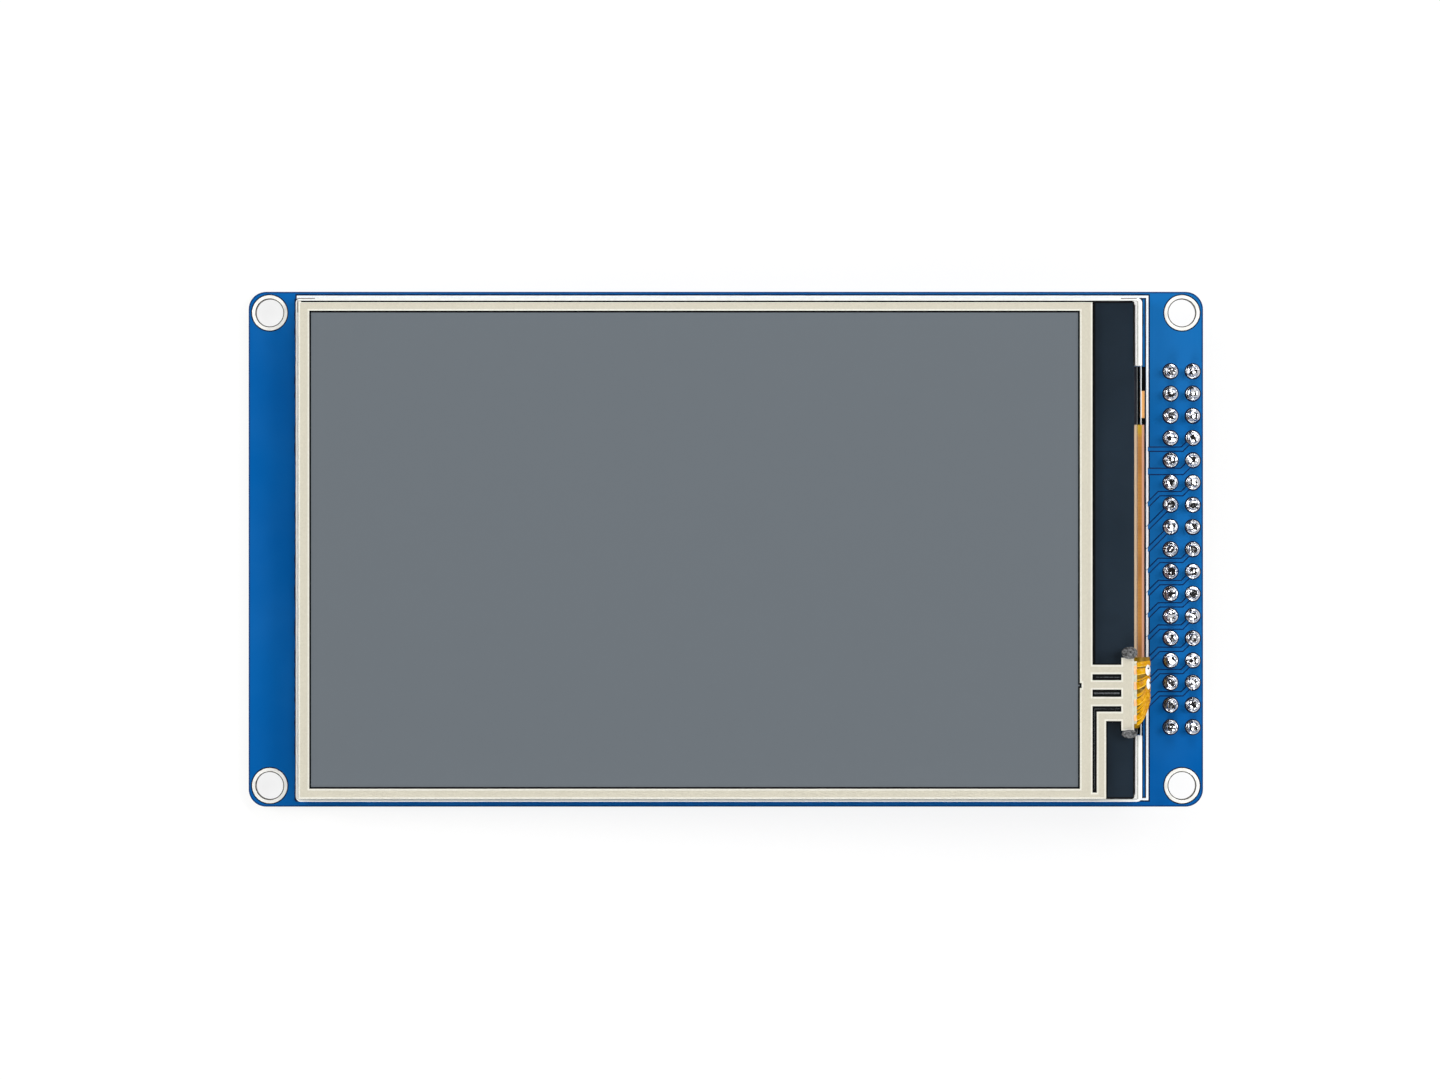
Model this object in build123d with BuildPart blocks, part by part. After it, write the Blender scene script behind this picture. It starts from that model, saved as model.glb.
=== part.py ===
from build123d import *

import os

# A flat colour display module, in millimetres. The origin is the centre of the four mounting
# holes on the board's back face, +Z points out of the screen, +X towards the pin header and
# +Y towards the top edge of the screen.

os.makedirs("parts", exist_ok=True)

overrun = 0.5

# Circuit board
board_length = 109.0
board_width = 58.8
board_thickness = 1.6
board_corner_radius = 2.0
hole_inset = 2.4
hole_diameter = 3.1
hole_wall = 0.05
hole_land_diameter = 4.2
copper = 0.05
track_width = 0.38
wide_track_width = 0.62
track_relief = 0.04
print_thickness = 0.03
print_line_width = 0.2

# Pin header
pin_spacing = 2.54
pin_row_count = 17
pin_column_count = 2
pin_width = 0.64
pin_tip_chamfer = 0.15
pin_mating_length = 6.0
pin_top_reach = 1.25
pin_hole_diameter = 1.0
header_body_height = 2.54
header_body_width = 4.8
header_cell_chamfer = 0.5
joint_base_diameter = 1.74
joint_rim_height = 0.12
joint_waist_diameter = 1.3
joint_waist_height = 0.45
joint_crown_diameter = 1.0
joint_crown_height = 0.95

# Backlight frame and the panel's place on the board
board_margin_left = 5.51
board_margin_right = 7.09
board_margin_top = 0.76
board_margin_bottom = 0.64
frame_corner_radius = 0.6
frame_cell_wall = 0.8
frame_guide_wall = 1.6
notch_margin_high = 2.83
notch_margin_low = 0.84
notch_lip_thickness = 0.15
notch_lip_height = 0.7
tail_slot_clearance = 0.05
stack_clearance = 0.1

# Thicknesses of the panel's layers, from the board up
foam_thickness = 0.8
reflector_thickness = 0.1
guide_thickness = 0.7
diffuser_thickness = 0.05
prism_thickness = 0.06
shield_tape_thickness = 0.08
polarizer_thickness = 0.15
cell_glass_thickness = 0.4
bonding_tape_thickness = 0.2
touch_glass_thickness = 0.9
border_thickness = 0.05
film_thickness = 0.2

# Foam pads and reflector
foam_strip_width = 6.0
foam_margin = 1.5
reflector_inset = 0.2

# Liquid crystal cell
ledge_width = 4.6
polarizer_margin = 0.4
shield_tape_rim = 1.5
driver_chip_length = 26.0
driver_chip_width = 1.3
driver_chip_gap = 0.6
cover_tape_overlap = 0.3
cover_tape_inset = 0.2

# Touch panel: its edges from the frame's, its window and border print from its own edges
touch_inset_left = 0.29
touch_inset_right = 0.56
touch_inset_top = 0.34
touch_inset_bottom = 0.29
film_inset = 0.1
film_inset_right = 0.4
bonding_tape_inset = 0.12
bonding_tape_inset_right = 0.35
bonding_window_inset = 0.1
border_inset = 0.06
border_inset_right = 5.14
window_rim_left = 1.3
window_rim_right = 1.43
window_rim_top = 1.15
window_rim_bottom = 1.22
border_notch_depth = 0.2
border_notch_length = 0.58
border_notch_drop = 3.17

# Bond pad of the touch panel, its tracks and the corner track that runs down to the border
bond_pad_high = -12.33
bond_pad_length = 1.45
bond_pad_width = 8.3
bond_pad_corner_radius = 0.3
touch_track_width = 1.06
straight_track_drops = (0.82, 2.57, 4.46)
corner_track_drop = 6.15
corner_track_gap = 0.49
corner_track_foot = 0.72

# Glue dabs above and below the bond pad
upper_glue_width = 1.3
lower_glue_width = 0.9
glue_height = 0.3
glue_corner_share = 0.3
glue_round_share = 0.8

# Touch tail, display flex circuit and their solder
flex_thickness = 0.12
flex_bend_radius = 1.5
flex_bend_share = 0.98
flex_gap = 0.3
touch_tail_lift = 0.06
touch_tail_width = 8.09
touch_tail_overhang = 1.48
touch_tail_return = 5.0
ribbon_inset = 0.73
ribbon_width = 3.07
taper_length_share = (0.05, 0.38, 0.62, 1.0)
taper_width_share = (0.0, 0.17, 0.55, 1.0)
display_flex_high = 14.19
display_flex_overhang = 1.22
display_flex_bond = 2.0
display_flex_return = 9.0
solder_bar_length = 1.2
solder_bar_width = 0.35
solder_bar_height = 0.18
solder_bar_spacing = 0.8

# Backlight diodes and their flex circuit
led_count = 6
led_length = 3.8
led_depth = 1.0
led_height = 0.6
led_flex_thickness = 0.1
led_flex_width = 2.0
led_flex_margin = 2.0
led_tail_gap = 0.8
led_tail_width = 3.08
led_tail_overhang = 0.4
led_tail_return = 3.0

# Printed outline round the panel
outline_gap_right = 0.69
outline_gap_top = 0.17
outline_inset_left = 0.15
outline_inset_bottom = 0.25
outline_corner_radius = 0.5

# Packages on the back of the board: body length, width and height, then their leads
body_standoff = 0.1
package_draft = 5
package_lead_gap = 0.05
lead_thickness = 0.15
lead_foot = 0.6
controller_setback = 15.7
controller_y = -10.5
controller_body = (5.0, 4.4, 1.0)
controller_span = 6.4
controller_lead_width = 0.22
controller_lead_spacing = 0.65
controller_leads_per_side = 8
supply_row_y = 14.0
regulator_body = (6.5, 3.5, 1.6)
regulator_span = 7.0
regulator_lead_width = 0.7
regulator_lead_spacing = 2.3
diode_setback = 15.0
diode_length = 2.6
diode_width = 1.6
diode_height = 1.1
driver_setback = 22.0
driver_body = (2.9, 1.6, 1.1)
driver_span = 3.6
driver_lead_width = 0.4
driver_lead_spacing = 0.95
inductor_setback = 30.0
inductor_side = 4.0
inductor_height = 1.8
inductor_corner_radius = 0.6
inductor_plate_thickness = 0.2
inductor_plate_width = 1.1

# Chip capacitors and resistors, and the printed marks beside the header
chip_length = 1.6
chip_width = 0.8
terminal_length = 0.3
capacitor_height = 0.8
resistor_height = 0.45
chip_row_spacing = 2.0
capacitor_setback = 7.0
resistor_setback = 10.0
capacitor_count = 6
resistor_count = 8
mark_gap = 0.4
mark_radius = 0.6

# Heights of the layers
foam_z = board_thickness
reflector_z = foam_z + foam_thickness
guide_z = reflector_z + reflector_thickness
diffuser_z = guide_z + guide_thickness
lower_prism_z = diffuser_z + diffuser_thickness
upper_prism_z = lower_prism_z + prism_thickness
shield_tape_z = upper_prism_z + prism_thickness
rear_polarizer_z = shield_tape_z + shield_tape_thickness
cell_glass_z = rear_polarizer_z + polarizer_thickness
filter_glass_z = cell_glass_z + cell_glass_thickness
front_polarizer_z = filter_glass_z + cell_glass_thickness
bonding_tape_z = front_polarizer_z + polarizer_thickness
touch_glass_z = bonding_tape_z + bonding_tape_thickness
border_z = touch_glass_z + touch_glass_thickness
film_z = border_z + border_thickness
film_top_z = film_z + film_thickness

# Holes and header
hole_spacing_x = board_length - 2 * hole_inset
hole_spacing_y = board_width - 2 * hole_inset
header_x = hole_spacing_x / 2
header_length = pin_row_count * pin_spacing
header_edge_x = header_x - header_body_width / 2
inner_column_x = header_x - pin_spacing / 2
outer_column_x = header_x + pin_spacing / 2
first_row_y = (pin_row_count - 1) * pin_spacing / 2
pin_top_z = board_thickness + pin_top_reach
header_bottom_z = -header_body_height
pin_bottom_z = header_bottom_z - pin_mating_length

# Edges of the frame, the cell, the light guide and the printed outline
frame_left = board_margin_left - board_length / 2
frame_right = board_length / 2 - board_margin_right
frame_top = board_width / 2 - board_margin_top
frame_bottom = board_margin_bottom - board_width / 2
frame_length = frame_right - frame_left
frame_width = frame_top - frame_bottom
frame_x = (frame_left + frame_right) / 2
frame_y = (frame_bottom + frame_top) / 2
cell_left = frame_left + frame_cell_wall + stack_clearance
cell_right = frame_right - frame_cell_wall - stack_clearance
cell_top = frame_top - frame_cell_wall - stack_clearance
cell_bottom = frame_bottom + frame_cell_wall + stack_clearance
filter_right = cell_right - ledge_width
guide_opening_right = frame_right - frame_guide_wall
guide_left = frame_left + frame_guide_wall + stack_clearance
guide_right = guide_opening_right - stack_clearance - led_flex_width
guide_top = frame_top - frame_guide_wall - stack_clearance
guide_bottom = frame_bottom + frame_guide_wall + stack_clearance
outline_left = frame_left + outline_inset_left
outline_right = frame_right + outline_gap_right
outline_top = frame_top + outline_gap_top
outline_bottom = frame_bottom + outline_inset_bottom
led_flex_length = guide_top - guide_bottom - 2 * led_flex_margin
led_spacing = led_flex_length / led_count

# Edges of the touch panel, its film, border and window
touch_left = frame_left + touch_inset_left
touch_right = frame_right - touch_inset_right
touch_top = frame_top - touch_inset_top
touch_bottom = frame_bottom + touch_inset_bottom
film_right = touch_right - film_inset_right
border_left = touch_left + border_inset
border_right = touch_right - border_inset_right
border_top = touch_top - border_inset
border_bottom = touch_bottom + border_inset
window_left = touch_left + window_rim_left
window_right = border_right - window_rim_right
window_top = touch_top - window_rim_top
window_bottom = touch_bottom + window_rim_bottom
bond_pad_left = film_right - bond_pad_length
bond_pad_low = bond_pad_high - bond_pad_width
corner_track_left = border_right + corner_track_gap
corner_track_right = corner_track_left + touch_track_width
corner_track_high = bond_pad_high - corner_track_drop

# Edges of the flex circuits
touch_tail_high = bond_pad_high + touch_tail_lift
touch_tail_low = touch_tail_high - touch_tail_width
touch_tail_reach = touch_right + touch_tail_overhang
touch_tail_end = touch_tail_reach - touch_tail_return
ribbon_high = touch_tail_high - ribbon_inset
ribbon_low = ribbon_high - ribbon_width
display_flex_low = ribbon_high + flex_gap
display_flex_reach = cell_right + display_flex_overhang
display_flex_end = display_flex_reach - display_flex_return
led_tail_low = display_flex_high + led_tail_gap
led_tail_high = led_tail_low + led_tail_width
led_tail_reach = frame_right + led_tail_overhang
led_tail_end = led_tail_reach - led_tail_return
frame_notch_high = led_tail_high + notch_margin_high
frame_notch_low = touch_tail_low - notch_margin_low

# Places of the parts on the back
controller_x = header_edge_x - controller_setback
regulator_x = controller_x
diode_x = regulator_x - diode_setback
driver_x = regulator_x - driver_setback
inductor_x = regulator_x - inductor_setback
capacitor_x = controller_x - capacitor_setback
resistor_x = controller_x - resistor_setback


def write(part, name):
    part.label = name
    export_step(part, f"parts/{name}.step")


def plate(name, left, right, bottom, top, z, thickness):
    """A flat rectangular layer between four edges."""
    with BuildPart() as layer:
        with BuildSketch(Plane.XY.offset(z)):
            with Locations(((left + right) / 2, (bottom + top) / 2)):
                Rectangle(right - left, top - bottom)
        extrude(amount=thickness)
    write(layer.part, name)


def ring(name, outer, inner, z, thickness):
    """A flat layer with a window: outer and inner are left, right, bottom and top edges."""
    with BuildPart() as layer:
        with BuildSketch(Plane.XY.offset(z)):
            with Locations(((outer[0] + outer[1]) / 2, (outer[2] + outer[3]) / 2)):
                Rectangle(outer[1] - outer[0], outer[3] - outer[2])
            with Locations(((inner[0] + inner[1]) / 2, (inner[2] + inner[3]) / 2)):
                Rectangle(inner[1] - inner[0], inner[3] - inner[2], mode=Mode.SUBTRACT)
        extrude(amount=thickness)
    write(layer.part, name)


def row_y(row):
    """Height of a header row on the board, counted from the top."""
    return first_row_y - row * pin_spacing


# Rows of the header whose tracks show, by the way they leave, counted from the top
stepped_rows = (5, 8, 9, 10, 11, 12, 13, 14)
inner_column_rows = (6, 7)
straight_row = 3
wide_row = 4
first_back_row = 9

# Routes of the mask-covered tracks on the front, from the pins to the printed outline
track_end_x = outline_right + print_line_width / 2
step_x = track_end_x + pin_spacing / 2
inner_column_run = inner_column_x - track_end_x
front_routes = []
for row in stepped_rows:
    lane_y = row_y(row) - pin_spacing / 2
    route = [
        (outer_column_x, row_y(row)),
        (header_x, lane_y),
        (step_x, lane_y),
        (track_end_x, lane_y - pin_spacing / 2),
    ]
    front_routes.append(route)
for row in inner_column_rows:
    route = [
        (inner_column_x, row_y(row)),
        (track_end_x, row_y(row) - inner_column_run),
    ]
    front_routes.append(route)
straight_routes = []
for row in (straight_row, wide_row):
    lane_y = row_y(row) - pin_spacing / 2
    route = [(outer_column_x, row_y(row)), (header_x, lane_y), (track_end_x, lane_y)]
    straight_routes.append(route)
front_routes.append(straight_routes[0])
wide_route = straight_routes[1]

# Routes on the back, from the header to the touch controller's leads
back_routes = []
lead_tip_x = controller_x + controller_span / 2 + stack_clearance
for lead in range(1, controller_leads_per_side):
    start_y = row_y(first_back_row + lead - 1)
    lead_y = controller_y + ((controller_leads_per_side - 1) / 2 - lead) * controller_lead_spacing
    slant = abs(start_y - lead_y)
    route = [(header_edge_x, start_y), (lead_tip_x + slant, start_y), (lead_tip_x, lead_y)]
    back_routes.append(route)


def lay_route(points, width):
    """Draw one track as a chain of round-ended runs in the open sketch."""
    for start, end in zip(points, points[1:]):
        run = Vector(*end) - Vector(*start)
        middle = (Vector(*end) + Vector(*start)) / 2
        turn = Vector(1, 0).get_signed_angle(run, Vector(0, 0, 1))
        with Locations(middle):
            SlotCenterToCenter(run.length, width, rotation=turn)


# Circuit board
with BuildPart() as circuit_board:
    with BuildSketch():
        RectangleRounded(board_length, board_width, board_corner_radius)
    extrude(amount=board_thickness)
    with BuildSketch(Plane.XY.offset(board_thickness - track_relief)):
        for route in front_routes:
            lay_route(route, track_width)
        lay_route(wide_route, wide_track_width)
    extrude(amount=2 * track_relief)
    with BuildSketch(Plane.XY.offset(-track_relief)):
        for route in back_routes:
            lay_route(route, track_width / 2)
    extrude(amount=2 * track_relief)
    with BuildSketch(Plane.XY.offset(-overrun)):
        with GridLocations(hole_spacing_x, hole_spacing_y, 2, 2):
            Circle(hole_diameter / 2 + hole_wall)
        with Locations((header_x, 0)):
            with GridLocations(pin_spacing, pin_spacing, pin_column_count, pin_row_count):
                Circle(pin_hole_diameter / 2)
    extrude(amount=board_thickness + 2 * overrun, mode=Mode.SUBTRACT)
    with BuildSketch(Plane.XY.offset(board_thickness)):
        with Locations(((outline_left + outline_right) / 2, (outline_bottom + outline_top) / 2)):
            Rectangle(
                outline_right - outline_left + print_line_width,
                outline_top - outline_bottom + print_line_width,
            )
        with Locations((header_x, 0)):
            with GridLocations(pin_spacing, pin_spacing, pin_column_count, pin_row_count):
                Circle(joint_base_diameter / 2)
    extrude(amount=overrun, mode=Mode.SUBTRACT)
    with BuildSketch(Plane.XY.offset(board_thickness - copper)):
        with GridLocations(hole_spacing_x, hole_spacing_y, 2, 2):
            Circle(hole_land_diameter / 2)
    extrude(amount=overrun, mode=Mode.SUBTRACT)
    with BuildSketch(Plane.XY.offset(copper)):
        with GridLocations(hole_spacing_x, hole_spacing_y, 2, 2):
            Circle(hole_land_diameter / 2)
    extrude(amount=-overrun, mode=Mode.SUBTRACT)
write(circuit_board.part, "circuit_board")

# Plated barrel and lands of each mounting hole
hole_corners = [(-1, 1), (1, 1), (1, -1), (-1, -1)]
for number, (side_x, side_y) in enumerate(hole_corners, start=1):
    hole_place = (side_x * hole_spacing_x / 2, side_y * hole_spacing_y / 2)
    with BuildPart() as plating:
        with BuildSketch():
            with Locations(hole_place):
                Circle(hole_diameter / 2 + hole_wall)
        extrude(amount=board_thickness)
        for land_z in (0, board_thickness - copper):
            with BuildSketch(Plane.XY.offset(land_z)):
                with Locations(hole_place):
                    Circle(hole_land_diameter / 2)
            extrude(amount=copper)
        with BuildSketch(Plane.XY.offset(-overrun)):
            with Locations(hole_place):
                Circle(hole_diameter / 2)
        extrude(amount=board_thickness + 2 * overrun, mode=Mode.SUBTRACT)
    write(plating.part, f"mounting_hole_plating_{number}")

# Header body: one block with a bevelled cell for each row, pierced for the pins
with BuildPart() as header_body:
    with BuildSketch(Plane.XY.offset(header_bottom_z)):
        with Locations((header_x, 0)):
            with GridLocations(0, pin_spacing, 1, pin_row_count):
                Rectangle(header_body_width, pin_spacing - 2 * header_cell_chamfer)
            with GridLocations(0, pin_spacing, 1, pin_row_count):
                Rectangle(header_body_width - 2 * header_cell_chamfer, pin_spacing)
            with GridLocations(0, pin_spacing, 1, pin_row_count):
                Polygon(
                    (header_body_width / 2, pin_spacing / 2 - header_cell_chamfer),
                    (header_body_width / 2 - header_cell_chamfer, pin_spacing / 2),
                    (-header_body_width / 2 + header_cell_chamfer, pin_spacing / 2),
                    (-header_body_width / 2, pin_spacing / 2 - header_cell_chamfer),
                    (-header_body_width / 2, -pin_spacing / 2 + header_cell_chamfer),
                    (-header_body_width / 2 + header_cell_chamfer, -pin_spacing / 2),
                    (header_body_width / 2 - header_cell_chamfer, -pin_spacing / 2),
                    (header_body_width / 2, -pin_spacing / 2 + header_cell_chamfer),
                    align=None,
                )
            with GridLocations(pin_spacing, pin_spacing, pin_column_count, pin_row_count):
                Rectangle(pin_width, pin_width, mode=Mode.SUBTRACT)
    extrude(amount=header_body_height)
write(header_body.part, "header_body")

# Header pins, square with bevelled ends
with BuildPart() as pin:
    with BuildSketch(Plane.XY.offset(pin_bottom_z)):
        Rectangle(pin_width, pin_width)
    extrude(amount=pin_top_z - pin_bottom_z)
    chamfer(pin.faces().sort_by(Axis.Z)[0].edges(), pin_tip_chamfer)
    chamfer(pin.faces().sort_by(Axis.Z)[-1].edges(), pin_tip_chamfer)
with BuildPart() as header_pins:
    with Locations((header_x, 0)):
        with GridLocations(pin_spacing, pin_spacing, pin_column_count, pin_row_count):
            add(pin.part)
write(header_pins.part, "header_pins")

# Solder joints: each fills its hole round the pin and rises in a cone on the board's front
with BuildPart() as joint:
    with BuildSketch(Plane.XZ):
        Polygon(
            (0, 0),
            (pin_hole_diameter / 2, 0),
            (pin_hole_diameter / 2, board_thickness),
            (joint_base_diameter / 2, board_thickness),
            (joint_base_diameter / 2, board_thickness + joint_rim_height),
            (joint_waist_diameter / 2, board_thickness + joint_waist_height),
            (joint_crown_diameter / 2, board_thickness + joint_crown_height),
            (0, board_thickness + joint_crown_height),
            align=None,
        )
    revolve(axis=Axis.Z)
    with BuildSketch(Plane.XY.offset(-overrun)):
        Rectangle(pin_width, pin_width)
    extrude(amount=pin_top_z + overrun, mode=Mode.SUBTRACT)
with BuildPart() as header_solder_joints:
    with Locations((header_x, 0)):
        with GridLocations(pin_spacing, pin_spacing, pin_column_count, pin_row_count):
            add(joint.part)
write(header_solder_joints.part, "header_solder_joints")

# White printed outline that the panel sits in
with BuildPart() as outline_print:
    outline_length = outline_right - outline_left
    outline_width = outline_top - outline_bottom
    with BuildSketch(Plane.XY.offset(board_thickness)):
        with Locations(((outline_left + outline_right) / 2, (outline_bottom + outline_top) / 2)):
            RectangleRounded(
                outline_length + print_line_width,
                outline_width + print_line_width,
                outline_corner_radius,
            )
            Rectangle(
                outline_length - print_line_width,
                outline_width - print_line_width,
                mode=Mode.SUBTRACT,
            )
    extrude(amount=print_thickness)
write(outline_print.part, "outline_print")

# Foam pads that hold the panel off the board
foam_left = frame_left + foam_margin
foam_right = frame_right - foam_margin
foam_top = frame_top - foam_margin
foam_bottom = frame_bottom + foam_margin
plate(
    "foam_pad_upper", foam_left, foam_right, foam_top - foam_strip_width, foam_top,
    foam_z, foam_thickness,
)
plate(
    "foam_pad_lower", foam_left, foam_right, foam_bottom, foam_bottom + foam_strip_width,
    foam_z, foam_thickness,
)
plate(
    "foam_pad_left", foam_left, foam_left + foam_strip_width,
    foam_bottom + foam_strip_width + foam_margin, foam_top - foam_strip_width - foam_margin,
    foam_z, foam_thickness,
)

# Reflector sheet under the backlight
plate(
    "reflector_sheet",
    frame_left + reflector_inset, guide_opening_right + reflector_inset,
    frame_bottom + reflector_inset, frame_top - reflector_inset,
    reflector_z, reflector_thickness,
)

# Backlight frame: a low wall round the light guide, stepped up round the cell, open on the
# right where the flex circuits leave, but for a thin lip that the backlight's tail passes under
notch_y = (frame_notch_high + frame_notch_low) / 2
notch_lip_left = frame_right - notch_lip_thickness
with BuildPart() as backlight_frame:
    with BuildSketch(Plane.XY.offset(guide_z)):
        with Locations((frame_x, frame_y)):
            RectangleRounded(frame_length, frame_width, frame_corner_radius)
            Rectangle(
                frame_length - 2 * frame_guide_wall,
                frame_width - 2 * frame_guide_wall,
                mode=Mode.SUBTRACT,
            )
    extrude(amount=bonding_tape_z - guide_z)
    with BuildSketch(Plane.XY.offset(shield_tape_z)):
        with Locations((frame_x, frame_y)):
            Rectangle(frame_length - 2 * frame_cell_wall, frame_width - 2 * frame_cell_wall)
    extrude(amount=bonding_tape_z - shield_tape_z + overrun, mode=Mode.SUBTRACT)
    with BuildSketch(Plane.XY.offset(guide_z - overrun)):
        with Locations((notch_lip_left - frame_guide_wall / 2, notch_y)):
            Rectangle(frame_guide_wall, frame_notch_high - frame_notch_low)
    extrude(amount=bonding_tape_z - guide_z + 2 * overrun, mode=Mode.SUBTRACT)
    with BuildSketch(Plane.XY.offset(guide_z + notch_lip_height)):
        with Locations((frame_right, notch_y)):
            Rectangle(2 * frame_guide_wall, frame_notch_high - frame_notch_low)
    extrude(amount=bonding_tape_z - guide_z, mode=Mode.SUBTRACT)
    with BuildSketch(Plane.XY.offset(guide_z - overrun)):
        with Locations((frame_right, (led_tail_high + led_tail_low) / 2)):
            Rectangle(2 * frame_guide_wall, led_tail_width + 2 * tail_slot_clearance)
    extrude(amount=led_flex_thickness + tail_slot_clearance + overrun, mode=Mode.SUBTRACT)
write(backlight_frame.part, "backlight_frame")

# Light guide, with the optical sheets on it
plate(
    "light_guide", guide_left, guide_right, guide_bottom, guide_top, guide_z, guide_thickness
)
sheet_levels = {
    "diffuser_sheet": (diffuser_z, diffuser_thickness),
    "prism_sheet_lower": (lower_prism_z, prism_thickness),
    "prism_sheet_upper": (upper_prism_z, prism_thickness),
}
for name, (sheet_z, sheet_thickness) in sheet_levels.items():
    plate(
        name, guide_left, guide_right, guide_bottom, guide_top, sheet_z, sheet_thickness
    )


def flex_strip(start_x, end_x, reach, high, low, top_z, thickness):
    """A flex circuit that leaves at top_z, bends down at reach and returns along the board."""
    outer_radius = min(flex_bend_radius, (top_z - board_thickness) / 2 * flex_bend_share)
    with BuildPart() as strip:
        with BuildSketch(Plane.XZ.offset(-high)):
            with BuildLine():
                outer = FilletPolyline(
                    (start_x, top_z),
                    (reach, top_z),
                    (reach, board_thickness),
                    (end_x, board_thickness),
                    radius=outer_radius,
                )
                inner = FilletPolyline(
                    (start_x, top_z - thickness),
                    (reach - thickness, top_z - thickness),
                    (reach - thickness, board_thickness + thickness),
                    (end_x, board_thickness + thickness),
                    radius=outer_radius - thickness,
                )
                Line(outer @ 0, inner @ 0)
                Line(outer @ 1, inner @ 1)
            make_face()
        extrude(amount=high - low)
    return strip.part


# Backlight flex circuit with its tail bent down to the board, and the diodes on it
led_flex_x = guide_right + led_flex_width / 2
led_tail = flex_strip(
    led_flex_x,
    led_tail_end,
    led_tail_reach,
    led_tail_high,
    led_tail_low,
    guide_z + led_flex_thickness,
    led_flex_thickness,
)
with BuildPart() as led_flex:
    with BuildSketch(Plane.XY.offset(guide_z)):
        with Locations((led_flex_x, frame_y)):
            Rectangle(led_flex_width, led_flex_length)
    extrude(amount=led_flex_thickness)
    add(led_tail)
write(led_flex.part, "led_flex")
led_face_x = guide_right + stack_clearance
for index in range(led_count):
    led_y = frame_y + ((led_count - 1) / 2 - index) * led_spacing
    plate(
        f"led_{index + 1}",
        led_face_x, led_face_x + led_depth,
        led_y - led_length / 2, led_y + led_length / 2,
        guide_z + led_flex_thickness, led_height,
    )

# Black tape between the backlight and the cell
shield_outer = (cell_left, cell_right, cell_bottom, cell_top)
shield_inner = (
    window_left - stack_clearance,
    window_right + stack_clearance,
    cell_bottom + shield_tape_rim,
    cell_top - shield_tape_rim,
)
ring("light_shield_tape", shield_outer, shield_inner, shield_tape_z, shield_tape_thickness)

# Liquid crystal cell: two glasses between two polarisers, the lower one with a ledge
plate(
    "rear_polarizer",
    cell_left + polarizer_margin, filter_right - polarizer_margin,
    cell_bottom + polarizer_margin, cell_top - polarizer_margin,
    rear_polarizer_z, polarizer_thickness,
)
plate(
    "tft_glass", cell_left, cell_right, cell_bottom, cell_top,
    cell_glass_z, cell_glass_thickness,
)
plate(
    "colour_filter_glass", cell_left, filter_right, cell_bottom, cell_top,
    filter_glass_z, cell_glass_thickness,
)
plate(
    "front_polarizer",
    cell_left + polarizer_margin, filter_right - polarizer_margin,
    cell_bottom + polarizer_margin, cell_top - polarizer_margin,
    front_polarizer_z, polarizer_thickness,
)

# Driver chip on the ledge and the dark tape that covers it
driver_left = filter_right + driver_chip_gap
plate(
    "driver_chip", driver_left, driver_left + driver_chip_width,
    frame_y - driver_chip_length / 2, frame_y + driver_chip_length / 2,
    filter_glass_z, cell_glass_thickness,
)
plate(
    "driver_cover_tape",
    filter_right - cover_tape_overlap, cell_right - cover_tape_inset,
    cell_bottom + cover_tape_inset, cell_top - cover_tape_inset,
    front_polarizer_z, polarizer_thickness,
)

# Touch panel: tape frame, glass, border print with its tracks, film
bonding_outer = (
    touch_left + bonding_tape_inset,
    touch_right - bonding_tape_inset_right,
    touch_bottom + bonding_tape_inset,
    touch_top - bonding_tape_inset,
)
bonding_inner = (
    window_left + bonding_window_inset,
    window_right - bonding_window_inset,
    window_bottom + bonding_window_inset,
    window_top - bonding_window_inset,
)
ring(
    "touch_bonding_tape", bonding_outer, bonding_inner, bonding_tape_z, bonding_tape_thickness
)
plate(
    "touch_glass", touch_left, touch_right, touch_bottom, touch_top,
    touch_glass_z, touch_glass_thickness,
)
corner_track_x = (corner_track_left + corner_track_right) / 2
corner_track_height = corner_track_high - border_bottom
foot_length = corner_track_right - border_right + touch_track_width
straight_track_length = bond_pad_left - border_right + touch_track_width
corner_track_length = bond_pad_left - corner_track_left + touch_track_width / 2
with BuildPart() as touch_border:
    with BuildSketch(Plane.XY.offset(border_z)):
        with Locations(((border_left + border_right) / 2, (border_bottom + border_top) / 2)):
            Rectangle(border_right - border_left, border_top - border_bottom)
        with Locations(((window_left + window_right) / 2, (window_bottom + window_top) / 2)):
            Rectangle(window_right - window_left, window_top - window_bottom, mode=Mode.SUBTRACT)
        with Locations((window_right, bond_pad_high - border_notch_drop)):
            Rectangle(2 * border_notch_depth, border_notch_length, mode=Mode.SUBTRACT)
        for drop in straight_track_drops:
            track_y = bond_pad_high - drop - touch_track_width / 2
            with Locations(((border_right + bond_pad_left) / 2, track_y)):
                Rectangle(straight_track_length, touch_track_width)
        with Locations(
            (corner_track_left + corner_track_length / 2, corner_track_high - touch_track_width / 2)
        ):
            Rectangle(corner_track_length, touch_track_width)
        with Locations((corner_track_x, corner_track_high - corner_track_height / 2)):
            Rectangle(touch_track_width, corner_track_height)
        with Locations(
            (corner_track_right - foot_length / 2, border_bottom + corner_track_foot / 2)
        ):
            Rectangle(foot_length, corner_track_foot)
        with Locations(((bond_pad_left + film_right) / 2, (bond_pad_high + bond_pad_low) / 2)):
            RectangleRounded(bond_pad_length, bond_pad_width, bond_pad_corner_radius)
    extrude(amount=border_thickness)
write(touch_border.part, "touch_border_print")
plate(
    "touch_film",
    touch_left + film_inset, film_right, touch_bottom + film_inset, touch_top - film_inset,
    film_z, film_thickness,
)

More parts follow.
